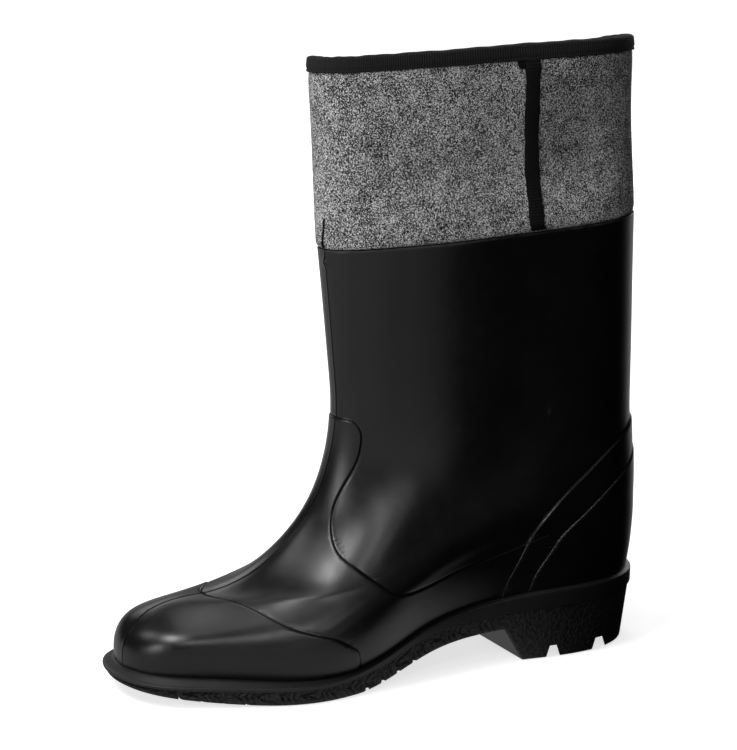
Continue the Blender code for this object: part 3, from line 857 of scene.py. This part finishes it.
# How many rows each stretch of the sole's skin has, from the underside's middle line to the top's
SOLE_ROWS = {
    "under": 12, "chamfer": 4, "side": 12, "step": 3, "band": 4, "ledge": 4, "slope": 4, "seat": 2, "top": 3
}
SOLE_ROW_COUNT = sum(SOLE_ROWS.values())
SIDE_LOW = SOLE_ROWS["under"] / SOLE_ROW_COUNT
SIDE_FOOT = (SOLE_ROWS["under"] + SOLE_ROWS["chamfer"]) / SOLE_ROW_COUNT
SIDE_HIGH = (SOLE_ROWS["under"] + SOLE_ROWS["chamfer"] + SOLE_ROWS["side"]) / SOLE_ROW_COUNT


def edge_cuts(share, y, skin):
    """How deep the zigzag cuts and the rough skin of the forefoot's edge go, at one height of its side."""
    run = np.arange(SOLE_COLUMNS) / SOLE_COLUMNS * SOLE_AROUND_MM / CHEVRON_PITCH
    phase = (run - CHEVRON_POINT * abs(share - 0.5) + CHEVRON_WANDER * np.sin(CHEVRON_WAVE * run)) % 1
    low, full, last, out = CHEVRON_STOPS
    cut = CHEVRON_DEPTH * ease(phase, low, full) * (1 - ease(phase, last, out))
    rough = EDGE_ROUGH * skin.normal(size=SOLE_COLUMNS)
    fade = ease(share, 0.0, EDGE_FADE) * (1 - ease(share, 1 - EDGE_FADE, 1.0))
    return (cut + rough) * fade * (1 - ease(y, *EDGE_CUTS_END))


def sole_rings():
    """Rings of the sole's skin: underside, edge, smooth band, ledge and the seat under the upper."""
    outline = over_last(sole_section, np.zeros(SOLE_COLUMNS), SOLE_ANGLES)
    y = outline[:, 1]
    top, under, band, rise = sole_top(y), sole_under(y), sole_band(y), seat_rise(y)
    taper = HEEL_TAPER * np.clip(top - under - band, 0, None)

    def low(depth, height):
        line = inset(outline, depth)
        line[:, 2] = under + height
        return line

    def high(depth, drop):
        line = inset(outline, depth)
        line[:, 2] = sole_top(line[:, 1]) - drop
        return line

    def between(a, b, shares):
        return [a + (b - a) * s for s in shares]

    foot = low(BAND_STEP + EDGE_CHAMFER + taper, 0)
    rings = between(middle(foot), foot, steps(SOLE_ROWS["under"]))
    for s in steps(SOLE_ROWS["chamfer"], math.pi / 2):
        depth = BAND_STEP + taper + EDGE_CHAMFER * (1 - math.sin(s))
        rings.append(low(depth, EDGE_CHAMFER * (1 - math.cos(s))))
    wall_foot = low(BAND_STEP + taper, EDGE_CHAMFER)
    wall_head = high(BAND_STEP, band + BAND_STEP_FALL)
    skin = np.random.default_rng(EDGE_SEED)
    shares = steps(SOLE_ROWS["side"])
    for s, wall in zip(shares, between(wall_foot, wall_head, shares)):
        rings.append(inset(wall, edge_cuts(s, y, skin)))
    band_foot = high(BAND_LEAN, band)
    rings += between(wall_head, band_foot, steps(SOLE_ROWS["step"]))
    rings += between(band_foot, high(0, LEDGE_ROUND), steps(SOLE_ROWS["band"]))
    for s in steps(SOLE_ROWS["ledge"], math.pi / 2):
        rings.append(high(LEDGE_ROUND * (1 - math.cos(s)), LEDGE_ROUND * (1 - math.sin(s))))
    seat = high(seat_inset(y), -rise)
    deep = high(LEDGE_IN, -rise)
    rings += between(high(LEDGE_ROUND, 0), seat, steps(SOLE_ROWS["slope"]))
    rings += between(seat, deep, steps(SOLE_ROWS["seat"]))
    rings += between(deep, middle(deep), np.linspace(0, 1, SOLE_ROWS["top"] + 1))
    return rings


OUTLINE_POINTS = 360
TREAD_DEPTH = 2.6
TREAD_WIDTH = 3.6
TREAD_PITCH = 10.5
TREAD_FIRST = -124.0
TREAD_COUNT = 13
TREAD_ZIGZAG = 3.6
TREAD_BENDS = 9
TREAD_TAPER = 0.7
TREAD_MARGIN = 6.0
TREAD_OPEN_FROM = -34.0
TREAD_CUTTER = 4.0
HEEL_GROOVES = (84.3, 112.4)
HEEL_GROOVE_FOOT = 8.6
HEEL_GROOVE_ROOF = 4.0
HEEL_GROOVE_DEPTH = 7.0
HEEL_GROOVE_SLANT = 0.5
HEEL_CUTTER_FOOT = -1.0
CUTTER_REACH = 70.0


def groove_bar(path, foot, roof, low, high):
    """A cutter for one groove: a box cut across, its slices moved along the groove's path."""
    deselect()
    bpy.ops.mesh.primitive_cube_add(size=1)
    bar = bpy.context.object
    bpy.ops.object.mode_set(mode="EDIT")
    for share in np.linspace(-0.5, 0.5, len(path))[1:-1]:
        bpy.ops.mesh.select_all(action="SELECT")
        bpy.ops.mesh.bisect(plane_co=(share, 0, 0), plane_no=(1, 0, 0))
    bpy.ops.object.mode_set(mode="OBJECT")
    shape = corners(bar)
    slice_of = np.rint((shape[:, 0] + 0.5) * (len(path) - 1)).astype(int)
    x, y = np.asarray(path)[slice_of].T
    at_foot = shape[:, 2] < 0
    wide = np.where(at_foot, foot, roof)
    pull(bar, np.stack([x, y + shape[:, 1] * wide, np.where(at_foot, low, high)], axis=1))
    return bar


def moulded_sole(finish):
    """Sole and heel in one skin, with the tread's grooves cut out of it."""
    piece = ring_piece("moulded_sole", sole_rings(), SOLE_MERGE)
    outline = over_last(sole_section, np.zeros(OUTLINE_POINTS), ring_angles(OUTLINE_POINTS))
    bars = []
    for i in range(TREAD_COUNT):
        y = TREAD_FIRST + i * TREAD_PITCH
        near = outline[np.abs(outline[:, 1] - y) < TREAD_PITCH / 2]
        spare = -TREAD_MARGIN if y > TREAD_OPEN_FROM else TREAD_MARGIN
        across = np.linspace(near[:, 0].min() + spare, near[:, 0].max() - spare, TREAD_BENDS)
        path = [(x, y + TREAD_ZIGZAG * (k % 2 - 0.5)) for k, x in enumerate(across)]
        high = float(sole_under(np.array([y]))[0]) + TREAD_DEPTH
        low = high - TREAD_CUTTER * TREAD_DEPTH
        bars.append(groove_bar(path, TREAD_WIDTH, TREAD_WIDTH * TREAD_TAPER, low, high))
    for y in HEEL_GROOVES:
        spread = (HEEL_GROOVE_FOOT - HEEL_GROOVE_ROOF) / HEEL_GROOVE_DEPTH
        ahead = y - (CUTTER_REACH - HEEL_HALF) * HEEL_GROOVE_SLANT
        path = [(-CUTTER_REACH, ahead), (0.0, y + HEEL_HALF * HEEL_GROOVE_SLANT), (CUTTER_REACH, ahead)]
        foot = HEEL_GROOVE_FOOT - spread * HEEL_CUTTER_FOOT
        bars.append(groove_bar(path, foot, HEEL_GROOVE_ROOF, HEEL_CUTTER_FOOT, HEEL_GROOVE_DEPTH))
    deselect()
    for bar in bars:
        bar.select_set(True)
    bpy.context.view_layer.objects.active = bars[0]
    bpy.ops.object.join()
    cutter = bars[0]
    finish_with(piece, "BOOLEAN", object=cutter, operation="DIFFERENCE", solver="EXACT")
    bpy.data.objects.remove(cutter)
    smooth(piece, 38)
    return dress(piece, "outsole", finish)


FELT_COLUMNS = 240
FELT_TUCK_STATIONS = (0.955, 0.97, 0.985, 1.0)
FELT_UP = 46
# The felt's cut edge, from its outer to its inner face: how far in and how high
FELT_EDGE = ((0.15, 0.12), (0.5, 0.21), (1.2, 0.24), (2.8, 0.24), (3.5, 0.15))
FELT_ROLL_STEPS = 6
FELT_ROLL_POWER = 0.55
WAVES_END = 0.12
RIM_STATIONS = 720
BINDING_PINCH = 1.1
BINDING_PINCH_FROM = 0.86
RIM_DIP = 3.4
RIM_DIP_AT = 215.0
RIM_DIP_REACH = 44.0
# Soft waves of the felt, in the same measures as the upper's swells
FELT_WAVES = {
    "front_pinch": (20.0, 0.30, 26.0, 0.34, -0.6),
    "side_swell": (60.0, 0.10, 30.0, 0.16, 0.7),
    "side_hollow": (80.0, 0.50, 22.0, 0.30, -0.7),
    "back_brow": (116.0, 0.84, 24.0, 0.16, 0.9),
    "back_hollow": (124.0, 0.45, 19.0, 0.27, -6.0),
    "back_swell": (118.0, 0.10, 28.0, 0.14, 0.9),
    "heel_hollow": (160.0, 0.62, 22.0, 0.35, -0.7),
    "inner_swell": (262.0, 0.30, 36.0, 0.30, 0.8),
    "inner_hollow": (300.0, 0.66, 26.0, 0.36, -0.8),
}
# The seam stands as a soft ridge under its tape
SEAM_RIDGE = 1.5
SEAM_RIDGE_REACH = 16.0
SEAM_RIDGE_ROUND = 1.5


def felt_wave(t, angle):
    """Gentle swells and hollows placed on the felt, and the ridge along its seam."""
    seam = np.degrees(angle_at(t, SEAM_TAPE_FOOT_Y + (SEAM_TAPE_HEAD_Y - SEAM_TAPE_FOOT_Y) * t))
    away = np.sqrt((np.degrees(angle) % 360 - seam) ** 2 + SEAM_RIDGE_ROUND)
    return soft_waves(FELT_WAVES, t, angle) + SEAM_RIDGE * np.exp(-away / SEAM_RIDGE_REACH)


def angle_at(t, y):
    """Angle on the outer side at which the felt's section has a place along the foot."""
    s = dict(zip(SECTION_COLUMNS, felt_section(t).T))
    return np.arccos(np.clip(2 * (y - s["back_y"]) / (s["front_y"] - s["back_y"]) - 1, -1, 1))


def rim_tuck(angle):
    """Where the felt goes down inside the rubber's rim."""
    rim = over_last(upper_section, np.ones(RIM_STATIONS), ring_angles(RIM_STATIONS))
    closed = inset(rim, RUBBER_WALL + FELT_CLEARANCE)
    at = angle % TAU / TAU * RIM_STATIONS
    low = np.floor(at).astype(int) % RIM_STATIONS
    share = (at - np.floor(at))[:, None]
    place = closed[low] * (1 - share) + closed[(low + 1) % RIM_STATIONS] * share
    place[:, 2] += GAP
    return place


def felt_skin(t, angle):
    """The felt's outer face: a roll from the rubber's rim (-1) to its foot (0), then up to its edge (1)."""
    up = np.clip(t, 0, 1)
    pinch = BINDING_PINCH * ease(up, BINDING_PINCH_FROM, 1.0)
    wave = felt_wave(up, angle) * ease(1 - up, 0.0, WAVES_END) - pinch
    face = over_last(felt_section, up, angle) + outward(felt_section, up, angle) * wave[:, None]
    off = (np.degrees(angle) % 360 - RIM_DIP_AT) / RIM_DIP_REACH
    face[:, 2] -= RIM_DIP * up**2 * np.exp(-off * off)
    roll = np.clip(-t, 0, 1) * math.pi / 2
    tuck = rim_tuck(angle)
    across = np.cos(roll)[:, None] ** FELT_ROLL_POWER
    climb = 1 - np.sin(roll)
    rolled = tuck + (face - tuck) * np.concatenate([across, across, climb[:, None]], axis=1)
    return np.where((t < 0)[:, None], rolled, face)


def felt_leg(finish):
    """The felt shaft: out of the rubber's rim, up to the collar, over its cut edge and down inside."""
    angles = ring_angles(FELT_COLUMNS)
    tucked = []
    for t in FELT_TUCK_STATIONS:
        line = over_last(upper_section, np.full(FELT_COLUMNS, t), angles)
        tucked.append(inset(line, RUBBER_WALL + FELT_CLEARANCE))
    tucked[-1][:, 2] += GAP
    roll = steps(FELT_ROLL_STEPS)[1:] - 1
    shares = np.concatenate([roll, np.linspace(0, 1, FELT_UP)])
    outside = [felt_skin(np.full(FELT_COLUMNS, t), angles) for t in shares]
    over = []
    for depth, rise in FELT_EDGE:
        line = inset(outside[-1], depth)
        line[:, 2] += rise
        over.append(line)
    inside = [inset(line, FELT_THICK) for line in outside[::-3]]
    inside += [inset(line, FELT_THICK) for line in tucked[::-1]]
    loop = tucked + outside + over + inside
    loop.append(loop[0])
    piece = ring_piece("felt_leg", loop)
    smooth(piece, 70)
    return dress(piece, "felt_shaft", finish)


COLLAR_SHARE = 0.1


def collar_ring(angles, depth):
    """The felt's outer face at a depth below its top edge."""
    count = len(angles)
    head = over_last(felt_section, np.ones(count), angles)
    tall = head - over_last(felt_section, np.full(count, 1 - COLLAR_SHARE), angles)
    share = 1 - COLLAR_SHARE * np.asarray(depth) / tall[:, 2]
    return felt_skin(np.broadcast_to(share, count), angles)


BINDING_COLUMNS = 560
BINDING_ROOF = 1.5
BINDING_ROOF_POWER = 0.75
BINDING_SWELL = 0.3
BINDING_SEAM = 4.9
BINDING_SEAM_DEPTH = 0.45
BINDING_SEAM_WIDTH = 0.5
BINDING_HEAD = 0.5
BINDING_RIPPLE = ((0.11, 16, 0.5708), (0.11, 30, -0.5708), (0.1, 61, 0.0))
BINDING_PUFF = ((0.12, 19, 0.6), (0.1, 41, 0.0))


def collar_tape(finish):
    """Knitted tape folded over the felt's top edge, its outer leg sewn down along a shallow line."""
    angles = ring_angles(BINDING_COLUMNS)
    edge = collar_ring(angles, 0.0)
    uneven = ripple(angles, BINDING_RIPPLE)
    puff = ripple(angles, BINDING_PUFF)

    def leg(below, out):
        return inset(collar_ring(angles, below), out)

    def thick(below):
        return TAPE_THICK * (0.5 if below == BINDING_DEPTH else 1.0)

    rows = []
    for below in np.linspace(BINDING_DEPTH, BINDING_HEAD, 12):
        drawn = BINDING_SEAM_DEPTH * np.exp(-(((below - BINDING_SEAM) / BINDING_SEAM_WIDTH) ** 2))
        swell = BINDING_SWELL * math.sin(math.pi * (BINDING_DEPTH - below) / BINDING_DEPTH)
        foot = uneven * (below / BINDING_DEPTH) ** 3
        rows.append(leg(below + foot, -(GAP + thick(below) + swell * (1 + puff) - drawn)))
    half = FELT_THICK / 2 + GAP + TAPE_THICK
    for s in np.linspace(0, math.pi, 11):
        line = inset(edge, FELT_THICK / 2 - half * math.cos(s))
        line[:, 2] += (BINDING_ROOF + puff) * max(math.sin(s), 0) ** BINDING_ROOF_POWER
        rows.append(line)
    for below in np.linspace(BINDING_HEAD, BINDING_DEPTH, 6):
        rows.append(leg(below, FELT_THICK + GAP + thick(below)))
    rows.append(leg(BINDING_DEPTH, FELT_THICK + GAP))
    for depth in (FELT_THICK + GAP, -GAP):
        line = leg(0.0, depth)
        line[:, 2] += 2 * GAP
        rows.append(line)
    rows.append(leg(BINDING_DEPTH, -GAP))
    rows.append(rows[0])
    piece = ring_piece("collar_tape", rows)
    smooth(piece, 70)
    return dress(piece, "collar_binding", finish)


TAPE_HEAD = 0.955
TAPE_LIFT = 1.3
TAPE_FELT_GAP = 0.25
TAPE_CROWN = 0.45
TAPE_BEVEL = 0.15
TAPE_WANDER = ((0.18, 31, 0.0), (0.12, 83, 2.0))
TAPE_WANDER_APART = 1.7
TAB_FOOT = 0.885
TAB_LIFT = 1.0
TAB_WIDTH = 4.6
TAB_LAP = 1.0
TAB_ROUND = 1.2


def raise_on_felt(piece, t, angle, lift):
    """Pulls a sheet to a height above the felt."""
    out = outward(felt_section, np.clip(t, 0, 1), angle)
    pull(piece, felt_skin(t, angle) + out * lift[:, None])


def tape_on_felt(name, columns, rows, foot, sides, lift):
    """A strip of tape laid on the felt from a height up to the binding, between two side lines."""
    piece = flat_sheet(name, columns, rows)
    across, up, _ = corners(piece).T
    t = foot + (TAPE_HEAD - foot) * up
    left, right = sides(up)
    angle = angle_at(np.clip(t, 0, 1), left + (right - left) * across)
    rim = 1 - (2 * np.abs(across - 0.5)) ** 6
    raise_on_felt(piece, t, angle, lift * (1 - TAPE_CROWN + TAPE_CROWN * rim))
    thicken(piece, lift - TAPE_FELT_GAP)
    edges = {"limit_method": "ANGLE", "angle_limit": math.radians(50)}
    finish_with(piece, "BEVEL", width=TAPE_BEVEL * MM, segments=2, **edges)
    smooth(piece, 60)
    return piece


def side_tape(finish):
    """Tape over the felt's seam, from the rubber's rim to the binding."""

    def sides(up):
        centre = SEAM_TAPE_FOOT_Y + (SEAM_TAPE_HEAD_Y - SEAM_TAPE_FOOT_Y) * up
        left = centre - SEAM_TAPE_WIDTH / 2 + ripple(up, TAPE_WANDER)
        return left, centre + SEAM_TAPE_WIDTH / 2 + ripple(up + TAPE_WANDER_APART, TAPE_WANDER)

    piece = tape_on_felt("side_tape", 14, 160, SEAM_TAPE_FOOT, sides, TAPE_LIFT)
    return dress(piece, "seam_tape", finish)


def tape_tab(finish):
    """The tape's end, turned under the binding and showing at its side."""

    def sides(up):
        edge = SEAM_TAPE_HEAD_Y - SEAM_TAPE_WIDTH / 2
        return edge - TAB_WIDTH + TAB_ROUND * (1 - up) ** 2, edge + TAB_LAP

    piece = tape_on_felt("tape_tab", 10, 12, TAB_FOOT, sides, TAB_LIFT)
    return dress(piece, None, finish)


DART_ANGLE = 4.8
DART_LEAN = 3.0
DART_HALF = 1.6
DART_NARROWS = 0.6
DART_HEAD = 0.13
DART_LIFT = 0.25
DART_CROWN = 0.45
DART_STITCHES = ((0.12, 60, 0.0),)
DART_THICK = 0.4


def front_dart(finish):
    """Short dark seam that takes up the felt above the rubber's rim, at the front."""
    piece = flat_sheet("front_dart", 6, 30)
    across, up, _ = corners(piece).T
    t = SEAM_TAPE_FOOT + (DART_HEAD - SEAM_TAPE_FOOT) * up
    half = DART_HALF * (1 - DART_NARROWS * up**3)
    angle = np.radians(DART_ANGLE + DART_LEAN * np.clip(t, 0, 1) / DART_HEAD + half * (2 * across - 1))
    rim = 1 - (2 * np.abs(across - 0.5)) ** 4
    raise_on_felt(piece, t, angle, DART_LIFT + DART_CROWN * rim + ripple(up, DART_STITCHES))
    thicken(piece, DART_THICK)
    smooth(piece, 60)
    return dress(piece, None, finish)


INSOLE_COLUMNS = 200
INSOLE_INSET = 4.2
INSOLE_LIFT = 0.5
INSOLE_THICK = 4.0
INSOLE_DISH = 0.7
# The insole's rounded edge, from its foot to its top: how far in and how high
INSOLE_EDGE = ((0.6, 0.0), (0.0, 0.7), (0.0, 2.8), (0.5, 3.7), (1.6, INSOLE_THICK))


def felt_insole(finish):
    """Loose felt insole with a soft edge and a shallow tread of the foot."""
    feather = over_last(upper_section, np.zeros(INSOLE_COLUMNS), ring_angles(INSOLE_COLUMNS))

    def line(depth, rise):
        made = inset(feather, INSOLE_INSET + depth)
        made[:, 2] = sole_seat(made[:, 1]) + INSOLE_LIFT + rise
        return made

    foot, *sides, head = [line(depth, rise) for depth, rise in INSOLE_EDGE]
    shares = np.linspace(0, 1, 8)
    rows = [middle(foot) + (foot - middle(foot)) * s for s in shares] + sides
    for s in shares:
        row = head + (middle(head) - head) * s
        row[:, 2] -= INSOLE_DISH * ease(s, 0.0, 0.6)
        rows.append(row)
    piece = ring_piece("felt_insole", rows)
    smooth(piece, 60)
    return dress(piece, "insole", finish)


LINING_THICK = 0.5
LINING_FOOT = 0.03
LINING_HEAD = 0.94


def knit_lining(finish):
    """Thin knitted lining bonded inside the rubber."""
    piece = flat_sheet("knit_lining", 120, 70)
    flat = corners(piece)
    flat[:, 1] = LINING_FOOT + (LINING_HEAD - LINING_FOOT) * flat[:, 1]
    t, angle, points, normals = laid_on_upper(flat)
    depth = RUBBER_WALL + GAP - soft_waves(UPPER_SWELLS, t, angle)
    pull(piece, points - normals * depth[:, None])
    close_seams(piece)
    thicken(piece, LINING_THICK)
    smooth(piece, 60)
    return dress(piece, None, finish)


NAP_COUNT = 15000
NAP_SEED = 4
NAP_HEAD = 0.97
NAP_LENGTH = (0.7, 2.2)
NAP_LIFT = (0.12, 0.55)
NAP_HALF_WIDTH = 0.045
NAP_ROOT = 0.1


def felt_nap(finish):
    """Short loose hairs standing off the felt, each a narrow ribbon of two faces."""
    pick_from = np.random.default_rng(NAP_SEED)
    t = pick_from.uniform(0.0, NAP_HEAD, NAP_COUNT)
    angle = pick_from.uniform(0, TAU, NAP_COUNT)
    root = felt_skin(t, angle)
    out = outward(felt_section, t, angle)
    lean = pick_from.normal(size=(NAP_COUNT, 3))
    lean -= np.einsum("ij,ij->i", lean, out)[:, None] * out
    lean /= np.linalg.norm(lean, axis=1, keepdims=True)
    long = pick_from.uniform(*NAP_LENGTH, NAP_COUNT)[:, None]
    lift = pick_from.uniform(*NAP_LIFT, NAP_COUNT)[:, None]
    wide = NAP_HALF_WIDTH * np.cross(out, lean)
    bend = root + lean * long * 0.55 + out * lift * long * 0.6
    tip = root + lean * long + out * lift * long * 0.5
    pairs = ((root - out * NAP_ROOT, wide), (bend, wide), (tip, wide * 0.3))
    rows = np.stack([place + side * half for place, half in pairs for side in (-1, 1)], axis=1)
    points = (rows.reshape(-1, 3) + np.array(TO_MIDDLE)) * MM
    first = np.arange(NAP_COUNT)[:, None] * 6
    faces = np.concatenate([first + [0, 1, 3, 2], first + [2, 3, 5, 4]], axis=1).reshape(-1, 4)
    mesh = bpy.data.meshes.new("felt_nap")
    mesh.from_pydata(points.tolist(), [], faces.tolist())
    mesh.update()
    piece = bpy.data.objects.new("felt_nap", mesh)
    bpy.context.scene.collection.objects.link(piece)
    return dress(piece, None, finish)


def build_boot():
    rubber_upper(satin_rubber())
    moulded_sole(sole_rubber())
    felt = wool_felt()
    felt_leg(felt)
    felt_nap(felt)
    collar_tape(knit_tape("knit_binding", 400.0, True, 0.026))
    strip = knit_tape("knit_seam_tape", 84.0, False, 0.0025)
    side_tape(strip)
    tape_tab(strip)
    front_dart(strip)
    felt_insole(wool_felt("insole_felt", (0.34, 0.34, 0.34), (0.03, 0.03, 0.03)))
    knit_lining(wool_felt("lining_knit", (0.12, 0.12, 0.125), (0.012, 0.012, 0.012)))


# Stage

CAMERA_PLACE = (1.4812, -0.73245, 0.560)
CAMERA_AIM = (0.0775, -0.0412, 0.177)
FOCAL_PIXELS = 3258.0
FRAME_PIXELS = 750.0
SENSOR = 36.0


def look_from(obj, place, aim):
    obj.location = place
    obj.rotation_euler = (Vector(aim) - Vector(place)).to_track_quat("-Z", "Y").to_euler()


def set_camera():
    lens = bpy.data.cameras.new("camera")
    lens.lens = FOCAL_PIXELS / FRAME_PIXELS * SENSOR
    lens.sensor_width = SENSOR
    lens.clip_end = 50.0
    camera = bpy.data.objects.new("camera", lens)
    bpy.context.scene.collection.objects.link(camera)
    look_from(camera, CAMERA_PLACE, CAMERA_AIM)
    bpy.context.scene.camera = camera


LIGHT_AIM = (0.0, 0.0, 0.12)
LIGHT_DISTANCE = 2.0


def soft_box(name, azimuth, elevation, width, height, power):
    """An area light aimed at the boot; azimuth turns from the toe's side to the boot's outer side."""
    a, e = math.radians(azimuth), math.radians(elevation)
    towards = Vector((math.cos(e) * math.sin(a), -math.cos(e) * math.cos(a), math.sin(e)))
    lamp = bpy.data.lights.new(name, "AREA")
    lamp.shape = "RECTANGLE"
    lamp.size = width
    lamp.size_y = height
    lamp.energy = power
    light = bpy.data.objects.new(name, lamp)
    bpy.context.scene.collection.objects.link(light)
    look_from(light, Vector(LIGHT_AIM) + towards * LIGHT_DISTANCE, LIGHT_AIM)


# Soft boxes round the boot: azimuth, elevation, width, height and power
SOFT_BOXES = {
    "key": (23, 50, 0.6, 0.5, 7.6),
    "key_top": (8, 59, 0.5, 0.5, 12.5),
    "low_front": (12, 13, 0.7, 0.5, 4.6),
    "front_mid": (13, 22, 0.4, 0.4, 3.0),
    "front_sweep": (15, 6, 2.0, 0.42, 1.5),
    "near_sweep": (72, 6, 2.0, 0.42, 1.5),
    "near_high": (58, 38, 0.6, 0.5, 4.6),
    "near_side": (77, 27, 0.4, 0.4, 1.6),
    "overhead": (0, 88, 1.0, 1.0, 4.2),
    "far_front": (-30, 42, 0.6, 0.6, 3.6),
    "far_top": (-108, 66, 0.8, 0.8, 4.8),
    "far_side": (-94, 24, 0.7, 0.8, 3.2),
    "far_back": (-142, 16, 0.7, 0.7, 6.0),
}
FLOOR_SIZE = 24.0
FLOOR_SEEN = 0.80
FLOOR_GLOW_SEEN = 0.70
FLOOR_WHITE_FROM = (0.35, 1.2)
# Painted light: the floor glows for all but camera rays, standing for the light it bounces onto the boot
# and shows in the boot's reflections.
FLOOR_GLOW = 0.48
WORLD_GLOW = 0.01
# The floor's glow fades out behind the outer side, past the boot's own ground: a painted shadow in the
# glow.
FLOOR_SHADOW_TOWARDS = (0.643, 0.766)
FLOOR_SHADOW_SPREAD = (0.38, 0.76)
FLOOR_SHADOW_FROM = (0.065, 0.12)


def set_stage():
    deselect()
    bpy.ops.mesh.primitive_plane_add(size=FLOOR_SIZE)
    floor = bpy.context.object
    floor.name = "floor"
    pale = Finish("pale_floor", Roughness=0.9, Specular_IOR_Level=0.0, Emission_Strength=1.0)
    seen = pale.node("LightPath", output="Is Camera Ray")
    x, y = pale.first_two(pale.place())
    reach = pale.wire.math("SQRT", x * x + y * y + 0.0001)
    towards = (x * FLOOR_SHADOW_TOWARDS[0] + y * FLOOR_SHADOW_TOWARDS[1]) / reach
    # Painted shadow: the floor's glow fades out behind the boot's outer side.
    painted_floor_shadow = towards.rise(*FLOOR_SHADOW_SPREAD) * reach.rise(*FLOOR_SHADOW_FROM)
    glow = pale.mix(painted_floor_shadow, (FLOOR_GLOW,) * 3, (0.0, 0.0, 0.0))
    pale.feed("Base Color", pale.mix(seen, (0.0, 0.0, 0.0), (FLOOR_SEEN,) * 3))
    white = pale.mix(reach.rise(*FLOOR_WHITE_FROM), (FLOOR_GLOW_SEEN,) * 3, (1.0, 1.0, 1.0))
    # Camera rays see a pale floor; all other rays see only its painted glow.
    pale.feed("Emission Color", pale.mix(seen, glow, white))
    floor.data.materials.append(pale.material)
    for name, box in SOFT_BOXES.items():
        soft_box(name, *box)
    world = bpy.data.worlds.new("studio")
    bpy.context.scene.world = world
    world.use_nodes = True
    background = world.node_tree.nodes["Background"]
    background.inputs["Color"].default_value = (1, 1, 1, 1)
    background.inputs["Strength"].default_value = WORLD_GLOW
    bpy.context.scene.view_settings.view_transform = "Standard"


build_boot()
set_camera()
set_stage()
